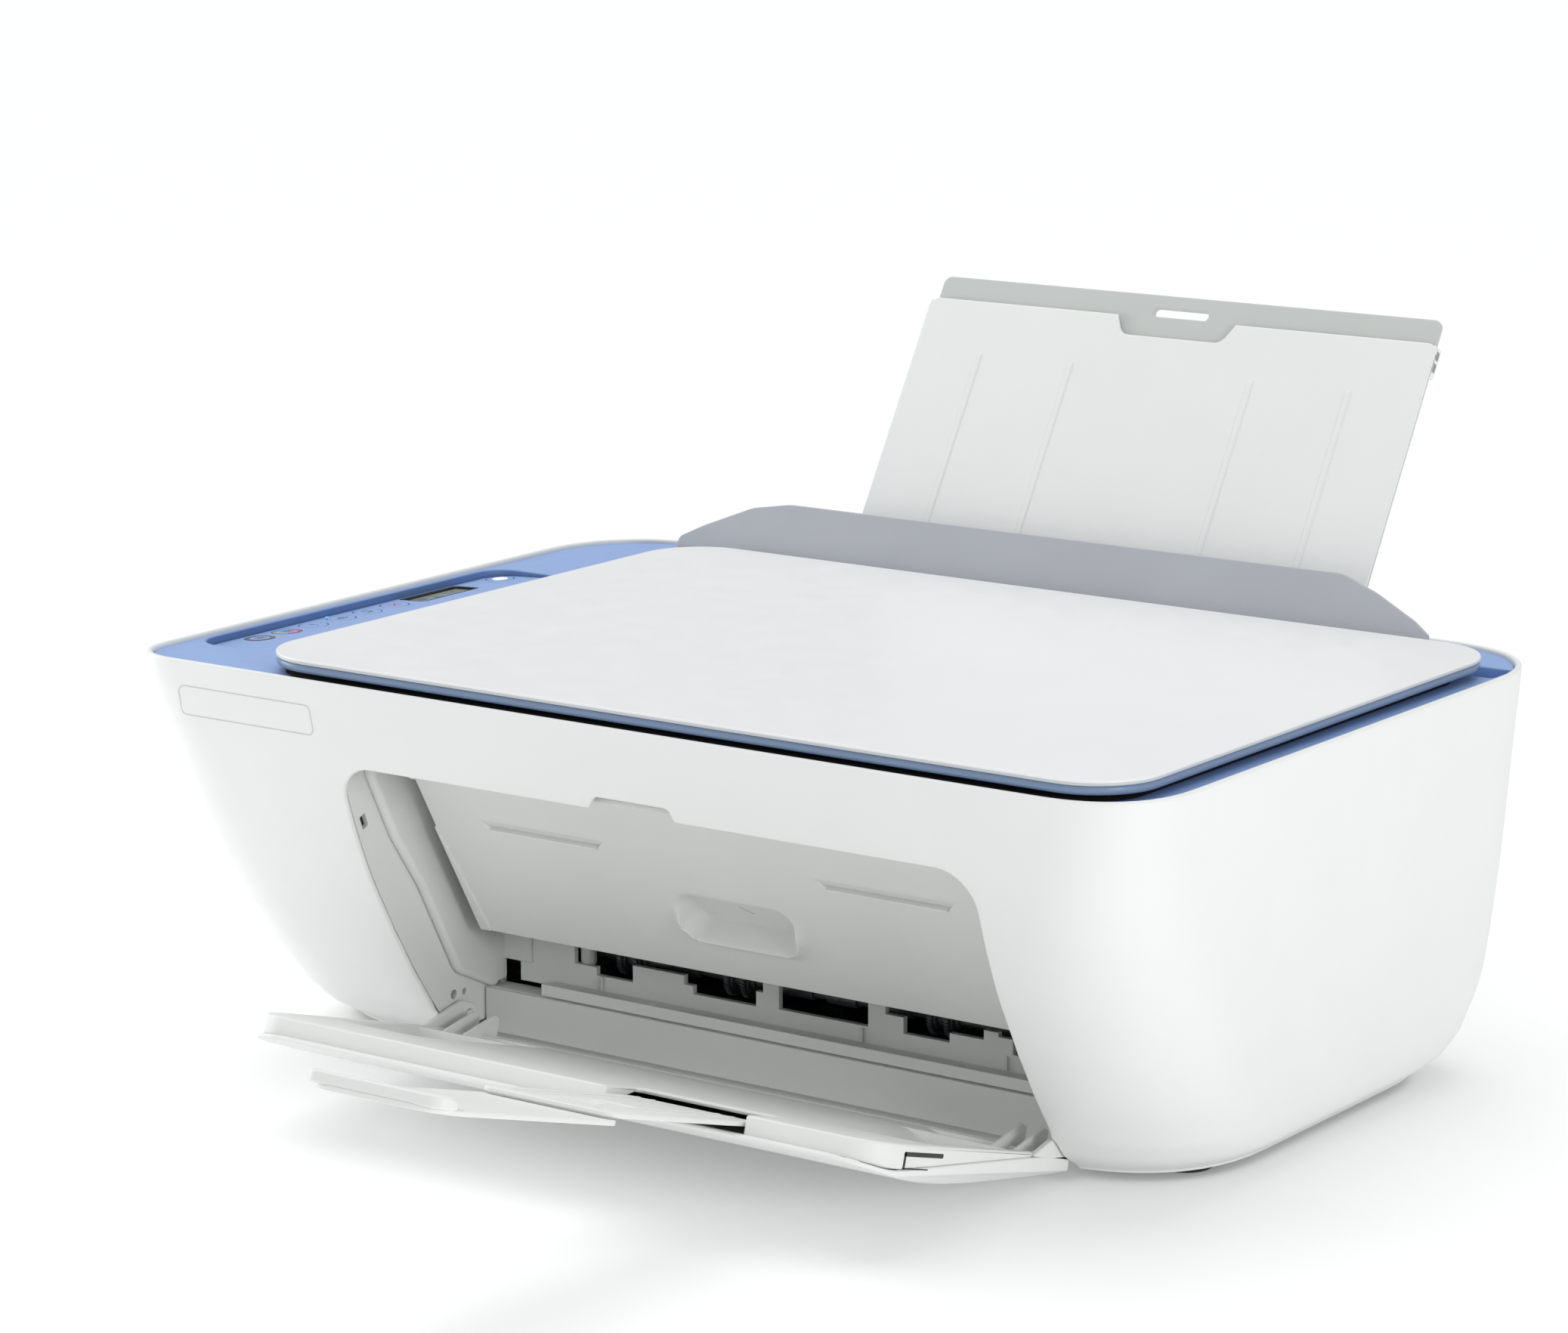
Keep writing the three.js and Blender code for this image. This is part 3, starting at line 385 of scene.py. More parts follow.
GLOW = lamp("lit_white", "#ffffff", 1.6)
CYAN_GLOW = lamp("lit_cyan", "#3fc6e6", 1.0)
GLASS = moulded("scanner_glass", "#dfe7e6", 0.06, grain=0.02, depth=0.00001,
                Transmission_Weight=0.85, IOR=1.45)

# ---- pieces


def placed(name, data):
    made = bpy.data.objects.new(name, data)
    bpy.context.scene.collection.objects.link(made)
    return made


def piece(name, body, nodes, parts, crease=40):
    """One object of the visual model: its solids, each with its material, riding on a CAD body."""
    verts, faces, materials, indices, base = [], [], [], [], 0
    for (points, polygons), material in parts:
        if material not in materials:
            materials.append(material)
        verts.append(points)
        faces += [tuple(base + v for v in f) for f in polygons]
        indices += [materials.index(material)] * len(polygons)
        base += len(points)
    mesh = bpy.data.meshes.new(name)
    mesh.from_pydata(((np.concatenate(verts) + (0, SHIFT, 0)) * MM).tolist(), [], faces)
    for material in materials:
        mesh.materials.append(material)
    mesh.polygons.foreach_set("material_index", indices)
    mesh.polygons.foreach_set("use_smooth", [True] * len(faces))
    mesh.set_sharp_from_angle(angle=radians(crease))
    made = placed(name, mesh)
    weigh = made.modifiers.new("weigh", "WEIGHTED_NORMAL")
    weigh.keep_sharp = True
    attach(made, body)
    if nodes:
        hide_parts(*nodes)


def refine(name, material):
    """A CAD node that stays: its edges are broken and it takes its material."""
    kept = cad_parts[name]
    kept.data.materials.clear()
    kept.data.materials.append(material)
    weld = kept.modifiers.new("weld", "WELD")
    weld.merge_threshold = 1e-5
    flat = kept.modifiers.new("flat", "DECIMATE")
    flat.decimate_type = "DISSOLVE"
    flat.angle_limit = radians(0.5)
    bevel = kept.modifiers.new("bevel", "BEVEL")
    bevel.width = 0.3 * MM
    bevel.segments = 2
    bevel.limit_method = "ANGLE"
    bevel.angle_limit = radians(32)
    kept.data.polygons.foreach_set("use_smooth", [True] * len(kept.data.polygons))
    smoothing = kept.modifiers.new("weigh", "WEIGHTED_NORMAL")
    smoothing.keep_sharp = False

# ---- the shell's form

SECTIONS = np.array([  # z, front, half width, back, front corner, back corner
    (148, -150, 212.5, 143, 38, 50),
    (121, -148.3, 211, 140.6, 40, 49),
    (98, -141.5, 209.6, 139.4, 44, 49),
    (75, -132, 208.2, 138, 48, 49),
    (52, -119.5, 206.8, 135.7, 51.5, 50),
    (35, -109, 205.8, 131.4, 54.5, 50),
    (18, -97.6, 202.5, 124, 57, 50),
    (10, -90.5, 198.5, 118, 58, 50),
    (3, -81, 190, 108, 56, 48),
], float)
CORNER_POWER = 2.4
LEFT_TIGHTER = 0.38  # how much smaller the left front corner is at the rim
TIGHTENS_FROM = 112
CORNER_SPAN = 30.0  # what half a corner's turn takes up in the shell's flat drawing
CORNER_PARTS = 8
SHELL_FOOT = 3
SHELL_WALL = 2.2


@functools.lru_cache(None)
def section(z):
    """Front, half width, back and the two corner sizes of the shell at a height."""
    heights = SECTIONS[:, 0]
    i = int(np.clip(np.searchsorted(-heights, -z), 1, len(heights) - 1))
    t = (heights[i - 1] - z) / (heights[i - 1] - heights[i])
    a, b, d, e = (SECTIONS[int(np.clip(k, 0, len(heights) - 1))] for k in (i - 2, i - 1, i, i + 1))
    curve = 2 * b + (d - a) * t + (2 * a - 5 * b + 4 * d - e) * t**2 + (3 * b - a - 3 * d + e) * t**3
    return curve[1:] / 2


def front_at(z):
    return float(section(z)[0])


def corner_size(z, back, side):
    """How far a corner reaches along the sides. The left front corner tightens towards the rim."""
    front_corner, back_corner = section(float(z))[3:]
    if back or side > 0:
        return back_corner if back else front_corner
    return front_corner * (1 - LEFT_TIGHTER * smooth((z - TIGHTENS_FROM) / (RIM_TOP - TIGHTENS_FROM)))


def round_corner(size, inset, turn):
    """How far the surface of a corner lies from its centre, sideways and in depth."""
    reach = size - inset
    return reach * max(cos(turn), 0) ** (2 / CORNER_POWER), reach * sin(turn) ** (2 / CORNER_POWER)


def shell_point(s, z, inset, back):
    """The point of the front or the back that the flat drawing has at (s, z)."""
    front, half, rear = section(float(z))[:3]
    corner = corner_size(z, back, copysign(1, s))
    over = max(0.0, abs(s) - (half - corner))
    out, depth = round_corner(corner, inset, radians(90 - 45 * over / CORNER_SPAN))
    x = min(abs(s), half - corner) + out
    y = rear - corner + depth if back else front + corner - depth
    return (copysign(x, s) if over else s, y, z)


def drawn(x, z):
    """Where a point of the shell's front lies in its flat drawing."""
    half = section(float(z))[1]
    corner = corner_size(z, False, copysign(1, x))
    over = (abs(x) - (half - corner)) / corner
    if over <= 0:
        return x
    turn = degrees(acos(min(1.0, over ** (CORNER_POWER / 2))))
    return copysign(half - corner + CORNER_SPAN * (90 - turn) / 45, x)


def corner_places(z, back, side):
    """The places of a half corner in the flat drawing, from its straight side out to its middle."""
    flat = section(float(z))[1] - corner_size(z, back, side)
    return [side * (flat + CORNER_SPAN * k / CORNER_PARTS) for k in range(CORNER_PARTS + 1)]


def shell_patch(rows, back, holes):
    """The front or the back of the shell, out to the middle of both its corners."""
    lines = [[(s, z) for s in (*corner_places(z, back, -1)[::-1], *corner_places(z, back, 1))]
             for z in rows]
    outline = lines[0] + [l[-1] for l in lines[1:-1]] + lines[-1][::-1] + [l[0] for l in lines[-2:0:-1]]
    flat, faces = fill(np.array(outline), holes, lines[1:-1])
    faces = faces[:, ::-1] if back else faces
    sheets = [[shell_point(s, z, inset, back) for s, z in flat] for inset in (0, SHELL_WALL)]
    return [*sheets, faces.tolist()]


def shell_side(rows, sign):
    """A side of the shell, from the middle of its front corner to the middle of its back corner."""
    def line(z, inset):
        front, half, rear = section(float(z))[:3]
        points = []
        for back, y, way, turns in ((False, front, 1, (45, 0)), (True, rear, -1, (0, 45))):
            corner = corner_size(z, back, sign)
            for turn in np.radians(np.linspace(*turns, 7)):
                out, depth = round_corner(corner, inset, turn)
                points.append((sign * (half - corner + out), y + way * (corner - depth), z))
        return points

    sheets = [[p for z in rows for p in line(z, inset)] for inset in (0, SHELL_WALL)]
    count = len(sheets[0]) // len(rows)
    faces = []
    for j in range(len(rows) - 1):
        for a in range(j * count, (j + 1) * count - 1):
            quad = [a, a + 1, a + 1 + count, a + count]
            faces.append(quad if sign > 0 else quad[::-1])
    return [*sheets, faces]


def welded(patches):
    """Sheets that meet along their edges, as one sheet."""
    seen, outer, inner, faces = {}, [], [], []
    for one, two, polygons in patches:
        index = []
        for p, q in zip(one, two):
            key = tuple(round(float(c), 2) for c in p)
            if key not in seen:
                seen[key] = len(outer)
                outer.append(p)
                inner.append(q)
            index.append(seen[key])
        for f in polygons:
            f = [index[v] for v in f]
            if len(set(f)) == len(f):
                faces.append(f)
    return outer, inner, faces


OPEN_LEFT, OPEN_RIGHT, OPEN_TOP = -114, 150, 118.5  # the mouth of the paper exit
LATCH_DIP = ((-4, -1), (30, 32), 123)  # both slanted ends and the top of the dip over the door
SHELL_EDGE = 1.0
SOCKETS = {"inlet": (-142, -116, 22, 44), "usb": (-104, -90, 24, 38)}
REAR_HOLE = (-82, 122, 44, 110)
SUPPORT_SLOT = (-106, 146, 137)


def opening(grow):
    (x0, x1), (x2, x3), dip = LATCH_DIP
    corners = [(OPEN_LEFT, -30, 0), (OPEN_RIGHT, -30, 0), (OPEN_RIGHT, OPEN_TOP, 14), (x3, OPEN_TOP, 1.5),
               (x2, dip, 3), (x1, dip, 3), (x0, OPEN_TOP, 1.5), (OPEN_LEFT, OPEN_TOP, 14)]
    outline = divided(offset(rounded(corners), grow), 6, [1])
    return np.array([(drawn(x, max(z, SHELL_FOOT + 0.5)), z) for x, z in outline])


def shell():
    """The outer shell: front, back and two sides, with the openings of the exit, feed and sockets."""
    rows = sorted({*np.linspace(SHELL_FOOT + SHELL_EDGE, 20, 9), *np.linspace(20, 112, 32),
                   *np.linspace(112, RIM_TOP - SHELL_EDGE, 13)})
    x0, x1, z0 = SUPPORT_SLOT
    slot = rounded([(x0, z0, 3), (x1, z0, 3), (x1, 200, 0), (x0, 200, 0)])
    holes = [*(rect(*box, 2) for box in SOCKETS.values()), slot, rect(*REAR_HOLE, 6)]
    patches = [shell_patch(rows, False, [opening(SHELL_EDGE)]),
               shell_patch(rows, True, [offset(hole, SHELL_EDGE) for hole in holes]),
               shell_side(rows, 1), shell_side(rows, -1)]
    return wall(*welded(patches), SHELL_EDGE, 4)


def name_plate():
    """A blank name plate: a thin raised line that leans with the shell. Its grey is painted shade, standing
    for the shade in an outline groove.
    """
    corners = ((-185, 128), (-123, 128), (-125, 139), (-187, 139))
    outline = divided(rounded([(drawn(x, 132), z, 2.5) for x, z in corners]), 3)
    line, low, high, radius = 0.45, -0.5, 0.1, 0.08
    flat, faces = fill(offset(outline, -radius), [offset(offset(outline, -line), radius)])
    sheets = [[shell_point(s, z, -rise, False) for s, z in flat] for rise in (high, low)]
    return wall(*sheets, faces.tolist(), radius, 2)


piece("shell", "casing", ["outer_shell"], [(shell(), WHITE)])
piece("name_plate", "casing", [], [(name_plate(), SHADED_EDGE_GREY)])

# ---- deck, scanner and lid

LID = (-156, 204.5, -147, 113)
LID_RADIUS = 25
LID_TOP = 154
BED = (-127, 175, -126, 89)
PAD = (BED[0] + 2, BED[1] - 2, BED[2] + 2, BED[3] - 4)
WELL = (-208.3, -160, -117.4, 59)
DECK_TOP = 146.5
GLASS_LOW, GLASS_TOP = 140.2, 143.2


def edge_gap(a, b, box):
    return np.minimum.reduce([a - box[0], box[1] - a, b - box[2], box[3] - b])


def shell_ring(z, inset):
    """The shell's outline at a height, seen from above."""
    def corner(back, side):
        return [shell_point(s, z, 0, back)[:2] for s in corner_places(z, back, side)[:-1]]

    right, left = ([p[:2] for p in shell_side([z], side)[0]] for side in (1, -1))
    outline = [*right, *corner(True, 1)[::-1], *corner(True, -1),
               *left[::-1], *corner(False, -1)[::-1], *corner(False, 1)]
    return offset(np.array(outline), -inset)


def deck():
    """The blue top frame: the scanner's bed, the hinge groove, the paper chute and the panel's recess."""
    left, right, front, _ = LID
    outline = shell_ring(DECK_TOP, SHELL_WALL + 0.35)
    well = rect(*WELL, 12)
    groove = rect(left - 3, right + 2.2, 98.5, 114.8, 2)
    chute = rect(-106, 146, 115.4, 139.4, 2)
    top = bar_z(outline, 138.7, DECK_TOP, 0.8, holes=[well, around(BED, 4, 5), groove, chute], steps=4)
    floor = bar_z(rect(left - 4, right + 3, 97.5, 115.6, 2), 140, 142.5, 0.3)
    lip = bar_z(around(BED, 5, 6), 136.9, 139.9, 0.4, holes=[rect(*BED, 3)])
    # A thin black sheet on the deck under the lid's edge: painted shadow, which darkens the gap between the
    # lid and the deck.
    shadow_sheet_edge = rect(left + 5, right - 5, front + 2.6, 97, LID_RADIUS - 5)
    shadow_sheet = bar_z(shadow_sheet_edge, 146.3, 146.9, 0.25, holes=[around(BED, 4, 5)])
    # The recess's wall is lined in a darker blue: painted shade.
    shade_lining = bar_z(offset(well, -0.02), 139.2, DECK_TOP - 0.45, 0.1, holes=[offset(well, -0.3)], steps=1)
    return [(top, BLUE), (lip, BLACK), (floor, BLUE), (shadow_sheet, PAINTED_SHADOW), (shade_lining, SHADED_BLUE)]


def platen_glass():
    outline = around(BED, 3.5, 4)
    border = bar_z(outline, GLASS_TOP, GLASS_TOP + 0.1, 0.04, holes=[around(BED, -2, 2)])
    return [(bar_z(outline, GLASS_LOW, GLASS_TOP, 0.3), GLASS), (border, BLACK)]


def lid():
    """A white cap over a blue-grey band, and two hinge arms at the back."""
    cap = bar_z(around(LID, -0.1, LID_RADIUS - 0.1), LID_TOP - 1, LID_TOP, 0.5, steps=4)
    # The rim is the lid's white edge, painted grey as the shade that falls on it.
    rim = bar_z(around(LID, 0, LID_RADIUS), 152.2, 153.5, 0.6, steps=4)
    band = bar_z(around(LID, -0.3, LID_RADIUS - 0.3), 149, 152.5, 1.5, steps=5)
    parts = [(cap, LID_WHITE), (rim, SHADED_EDGE_GREY), (band, SLATE)]
    arm = rounded([(102.5, 148.8, 1), (102.5, 145.8, 2), (109, 145.8, 2), (109, 148.8, 1), (106, 151, 1)])
    for x in (-128, 176):
        pin = bar_x(disc(106.5, 148.4, 1.9, 20), x - 13, x + 13, 0.4)
        parts += painted(SLATE, bar_x(arm, x - 10, x + 10, 0.8), pin)
    return parts


def lid_foam():
    """The pad that presses on the glass, thinner along its edges."""
    def underside(a, b):
        return 144 + 1.2 * (1 - smooth(edge_gap(a, b, PAD) / 12))

    return slab(ALONG_Z, rect(*PAD, 6), underside, 149.4, 0.8, step=12)


piece("deck", "casing", ["top_frame"], deck())
piece("platen_glass", "casing", ["scanner_glass"], platen_glass())
piece("lid", "scanner_lid", ["lid_cover"], lid())
piece("lid_foam", "scanner_lid", ["lid_pad"], [(lid_foam(), FOAM)])

# ---- control panel

TILT = radians(3.4)
PANEL = Axes((-208, 0, 143.5), (cos(TILT), 0, sin(TILT)), (0, 1, 0))
BUTTON_A = 8.0
BUTTON_RADIUS = 5.4
BUTTONS = {"copy": -90, "colour_copy": -75, "information": -60, "wireless": -44, "resume": -29,
           "cancel": -13, "power": 51}
DISPLAY = (1.3, 14.2, -3.1, 31.1)
MARK = (0.0, 0.1)  # foot and top of a printed mark above its button
SCREEN = -0.9


def control_plate():
    holes = [disc(BUTTON_A, y, BUTTON_RADIUS + 0.4) for y in BUTTONS.values()]
    holes += [offset(rect(*DISPLAY, 2.2), 0.3)]
    plate = slab(PANEL, rect(0.4, 47.1, -116.5, 58.1, 11.2), -1.6, 0, 0.15, holes=holes, steps=2)
    # A black sheet under the plate: painted shadow, seen through the gaps round the buttons.
    base = slab(PANEL, rect(1.4, 16, -106, 57, 4), -3.4, -2.4, 0.2)
    return [(plate, BLUE), (base, PAINTED_SHADOW)]


def mark(outline, holes=()):
    return slab(PANEL, outline, *MARK, 0.02, holes=holes, steps=1)


def outlined(a0, a1, b0, b1, width):
    return mark(rect(a0, a1, b0, b1, 0.5), [around((a0, a1, b0, b1), -width, 0.3)])


def arc(a, b, radius, width, start, end):
    turns = np.radians(np.linspace(start, end, 14))
    edges = ((radius, turns), (radius - width, turns[::-1]))
    return anticlockwise([(a + r * cos(t), b + r * sin(t)) for r, ts in edges for t in ts])


def stroke(a0, b0, a1, b1, width):
    along = np.array((a1 - a0, b1 - b0), float)
    side = np.array((-along[1], along[0])) / np.linalg.norm(along) * width / 2
    one, two = np.array((a0, b0)), np.array((a1, b1))
    return anticlockwise([one - side, two - side, two + side, one + side])


def button_marks(name, y):
    a = BUTTON_A
    if name in ("copy", "colour_copy"):
        pages = painted(LINE, *(outlined(a - 1.9 + d, a + 0.9 + d, y - 1.6 + d, y + 1.4 + d, 0.3)
                                for d in (0, 0.9)))
        if name == "copy":
            return [(mark(disc(a, y, 5.3), [disc(a, y, 3.9)]), TAUPE), *pages]
        inks = ((-45, RED), (45, RED), (135, CYAN), (225, YELLOW))
        return [(mark(arc(a, y, 5.3, 1.2, start, start + 88)), ink) for start, ink in inks] + pages
    if name == "information":
        return painted(LINE, mark(stroke(a - 2, y, a + 0.8, y, 0.6)), mark(disc(a + 2, y, 0.5, 12)))
    if name == "wireless":
        return painted(LINE, *(mark(arc(a - 2, y, r, 0.55, -50, 50)) for r in (1.4, 2.7, 4)))
    if name == "resume":
        page = outlined(a - 2, a + 1.4, y - 1.6, y + 1.6, 0.4)
        return painted(LINE, page, mark(stroke(a + 2.2, y - 2, a + 2.2, y + 1.4, 0.5)))
    if name == "cancel":
        return painted(RED, *(mark(stroke(a - d, y - 2, a + d, y + 2, 0.6)) for d in (2, -2)))
    return [(mark(disc(a, y, 2.9)), GLOW)]


def display():
    """A small grey screen with generic signs, in a black bezel."""
    a0, a1, b0, b1 = DISPLAY
    face = rect(*DISPLAY, 2)
    window = rect(a0 + 1.5, a1 - 0.7, b0 + 0.8, b1 - 1.2, 1.5)
    signs = [*(arc(a0 + 5, 12, r, 0.5, -45, 45) for r in (1.4, 2.6, 3.8)),
             *(stroke(a0 + 4, b, a0 + 9, b, 0.5) for b in (19, 21.6, 24.2)),
             stroke(a0 + 9, 19, a0 + 9, 24, 0.5), rect(a0 + 4, a0 + 7, 3, 7, 0.4)]
    return [(slab(PANEL, face, -2.2, SCREEN, 0.3), LCD),
            (slab(PANEL, face, -1.2, 0.0, 0.15, holes=[window]), BLACK),
            *painted(LINE, *(slab(PANEL, o, SCREEN, SCREEN + 0.04, 0.01, steps=1) for o in signs))]


piece("control_plate", "casing", ["control_panel"], control_plate())
for title, centre in BUTTONS.items():
    cap = slab(PANEL, disc(BUTTON_A, centre, BUTTON_RADIUS, 48), -2.2, 0.05, 0.35)
    stem = slab(PANEL, disc(BUTTON_A, centre, 2, 20), -3.6, -2, 0.2)
    marks = button_marks(title, centre)
    piece(title + "_cap", title + "_button", [title + "_button"], [*painted(BLUE, cap, stem), *marks])
piece("lcd", "casing", ["display"], display())
lens = slab(PANEL, disc(1.7, -45, 0.75, 16), -3, 0.2, 0.2)
piece("wireless_lens", "casing", ["wireless_light"], [(lens, CYAN_GLOW)])

# ---- rear paper feed

LEAN = radians(31.17)
FACE_Y, FACE_Z = 223.5, 328.7  # a point of the paper's face plane
PAPER_MID = 20
UP = (0, sin(LEAN), cos(LEAN))
FRONTWARD = (0, -cos(LEAN), sin(LEAN))
FACE_FOOT = (0, FACE_Y - FACE_Z * tan(LEAN), 0)
SLOPE = Axes(FACE_FOOT, (1, 0, 0), UP)
SLOPE_SIDE = Axes(FACE_FOOT, UP, FRONTWARD)


def up_slope(z):
    return z / cos(LEAN)


def behind(gap):
    """The height over the paper's face plane of something a horizontal gap behind it."""
    return -gap * cos(LEAN)


SUPPORT_HALF, SUPPORT_TOP, REST_TOP = 112.5, 248.5, 256
REST_FRONT, REST_BACK = behind(19.9) - 0.15, behind(22.8) + 0.1


def paper_support():
    """The sliding support: a thin sheet with a folded edge and an end block on both sides."""
    left, right = PAPER_MID - SUPPORT_HALF, PAPER_MID + SUPPORT_HALF
    foot, top = up_slope(118) + 9, up_slope(SUPPORT_TOP) + 8
    front, back = behind(17.2), behind(22.9)
    grip = rounded([(PAPER_MID - 22, top - 8, 5), (PAPER_MID + 22, top - 8, 5),
                    (PAPER_MID + 28, top + 3, 0), (PAPER_MID - 28, top + 3, 0)])
    skin = slab(SLOPE, rect(left, right, foot, top, 4), front - 1.9, front, 0.7, holes=[grip], steps=4)
    parts = [(skin, WHITE)]
    for sign in (-1, 1):
        edge = PAPER_MID + sign * SUPPORT_HALF
        fold = rect(*sorted((edge, edge - sign * 6.5)), foot, top - 0.6, 1.4)
        end_block = rect(*sorted((edge, edge - sign * 1.6)), top - 13, top - 1, 0.6)
        parts += painted(WHITE, slab(SLOPE, fold, REST_FRONT + 0.15, front - 0.6, 0.4),
                         slab(SLOPE, end_block, back, front - 1, 0.3))
        near, far = sorted((edge - sign * 0.3, edge + sign * 0.08))
        # The two slots are grey slabs on the block's side: painted shade in place of holes.
        slots = [rect(b, b + 3.4, back + 1.0, front - 1.9, 0.3) for b in (top - 10.6, top - 5.9)]
        parts += painted(GREY, *(slab(SLOPE_SIDE, slot, near, far, 0.06, steps=1) for slot in slots))
    ribs = [rect(x - 1.2, x + 1.2, foot + 6, top - 22, 1.1) for x in (-62, -20, 60, 102)]
    hem = slab(SLOPE, rect(left + 8, right - 8, foot, foot + 4, 1), back + 0.2, front - 1, 0.5)
    return parts + painted(WHITE, *(slab(SLOPE, rib, front - 0.5, front + 0.4, 0.4) for rib in ribs), hem)


def extender():
    half, foot, top = SUPPORT_HALF - 1.9, up_slope(132) + 10, up_slope(REST_TOP) + 9.6
    grip = rect(PAPER_MID - 12, PAPER_MID + 12, top - 9, top - 5.5, 1.7)
    outline = rect(PAPER_MID - half, PAPER_MID + half, foot, top, 3.5)
    return slab(SLOPE, outline, REST_BACK, REST_FRONT, 0.6, steps=4, holes=[grip])


def width_guide(sign):
    """A paper guide: a wall beside the sheet, its foot on the support and a finger to hold."""
    x = PAPER_MID + sign * 110.2
    high = rounded([(up_slope(130) + 5, behind(14.6), 1), (up_slope(163), behind(14.6), 3),
                    (up_slope(163) - 2, behind(8), 3.5), (up_slope(133) + 4, behind(7.2), 2)])
    low = rect(*sorted((x - sign, x + sign * 9)), up_slope(130) + 6, up_slope(145) + 4, 2)
    finger = rect(*sorted((x + sign * 1.6, x + sign * 8.4)), up_slope(137) + 5, up_slope(139) + 5, 0.8)
    return painted(INNER, slab(SLOPE_SIDE, high, x - 1.2, x + 1.2, 0.6),
                   slab(SLOPE, low, behind(14.5), behind(12.6), 0.5),
                   slab(SLOPE, finger, behind(13), behind(11.2), 0.4))


def shield():
    """The smoky flap over the paper's entry, lower towards both ends, with its hinge pins and ribs."""
    foot_z, foot_y = 149.6, 115.1
    axes = Axes((0, foot_y, foot_z), (1, 0, 0), UP)
    high = [(171, 154.5, 2), (164, 158.5, 6), (146, 166, 10), (130, 171, 14),
            (-116, 171, 22), (-133, 168.2, 12), (-153, 160, 12), (-163, 155, 3)]
    edge = [(x, (z - foot_z) / cos(LEAN), radius) for x, z, radius in high]
    plate = slab(axes, rounded([(-163, 0, 1), (171, 0, 1), *edge]), -1.75, -0.05, 0.7, steps=4)
    pins = [bar_x(disc(foot_y + 1.4, foot_z + 0.5, 1.8, 20), x - 6, x + 6, 0.5) for x in (-155, 163)]
    ribs = [slab(axes, rect(x - 4, x + 4, 0.6, 3, 1), -2.6, -1.6, 0.3) for x in (-118, -96, 98, 118, 140)]
    return [(plate, SMOKE), *painted(GREY, *pins, *ribs)]


piece("paper_rest", "paper_support", ["paper_support"], paper_support())
piece("rest_extender", "support_extender", ["support_extender"], [(extender(), SHADE)])
piece("guide_left", "width_guide_left", ["width_guide_left"], width_guide(-1))
piece("guide_right", "width_guide_right", ["width_guide_right"], width_guide(1))
piece("feed_shield", "input_shield", ["input_shield"], shield())

# ---- front frame and access door

HINGE = (-80.5, 13)  # the tray's hinge, in y and z
DOOR_AXIS = (-120.5, 114)
DOOR_FOOT = (-82, 47.6)
DOOR_MIDDLE = 20
DOOR_HALF = 123
DOOR_LENGTH = hypot(DOOR_FOOT[0] - DOOR_AXIS[0], DOOR_FOOT[1] - DOOR_AXIS[1])
DOOR_UP = (0, (DOOR_AXIS[0] - DOOR_FOOT[0]) / DOOR_LENGTH, (DOOR_AXIS[1] - DOOR_FOOT[1]) / DOOR_LENGTH)
DOOR = Axes((0, *DOOR_AXIS), (1, 0, 0), DOOR_UP)
DOOR_SIDE = Axes((0, *DOOR_AXIS), DOOR_UP, DOOR.sides[2])
LATCH = (-133.6, 95.6)
SCOOP = (-3, 47, -58, -37.5)  # the hollow of the door's handle
GROOVE_TOP = -19.6  # where the door's two catch grooves begin


def cheek(sign):
    """One side wall of the paper exit. It stands on the opening's edge, and its inner zone is raised."""
    face = OPEN_RIGHT + 0.4 if sign > 0 else OPEN_LEFT - 0.4
    front = [(front_at(z) + SHELL_WALL + 0.3, z, 0) for z in np.linspace(119.2, 8, 16)]
    outer = rounded([*front, (-56, 8, 2), (-56, 60, 8), (-98, 119.2, 2)])
    y, z = LATCH
    latch = rounded([(y - 2.2, z + 1.6, 0.4), (y + 0.6, z + 3, 0.4),
                     (y + 2.4, z - 1.6, 0.4), (y - 0.4, z - 3, 0.4)])
    holes = [latch, disc(-85, 21.2, 1.7, 20), disc(-79, 21, 1.2, 20)]
    raised = rounded([(-134, 119, 0), (-134, 113, 12), (-120.5, 86.9, 30), (-105.8, 66, 60), (-86, 30.1, 9),
                      (-66, 20.5, 5), (-58, 20.5, 2), (-58, 60, 8), (-98, 119, 0)])

    def lie(low, high):
        return (face + low, face + high) if sign > 0 else (face - high, face - low)

    solids = (bar_x(outer, *lie(0, 3), 0.4, holes=holes), bar_x(raised, *lie(-4, 0.4), 2.1, steps=6),
              bar_x(disc(*HINGE, 2.1, 24), *lie(-4.2, 2), 0.4),
              bar_x(disc(*DOOR_AXIS, 1.7, 24), *lie(-6, 2), 0.3))
    return [*painted(INNER, *solids), (bar_x(offset(latch, 0.5), *lie(2.2, 5), 0.4), BLACK)]


def front_frame():
    roof = block(OPEN_LEFT - 3.2, OPEN_RIGHT + 3.2, -142.5, -100, 119.3, 121.6, 0.5)
    sill = rounded([(-67, 9.4, 0.6), (-57.5, 9.4, 0.6), (-57.5, 20.6, 0.6), (-66.8, 20.6, 1)])
    return [*cheek(-1), *cheek(1), *painted(INNER, roof, bar_x(sill, -114.6, 150.6, 0.4))]


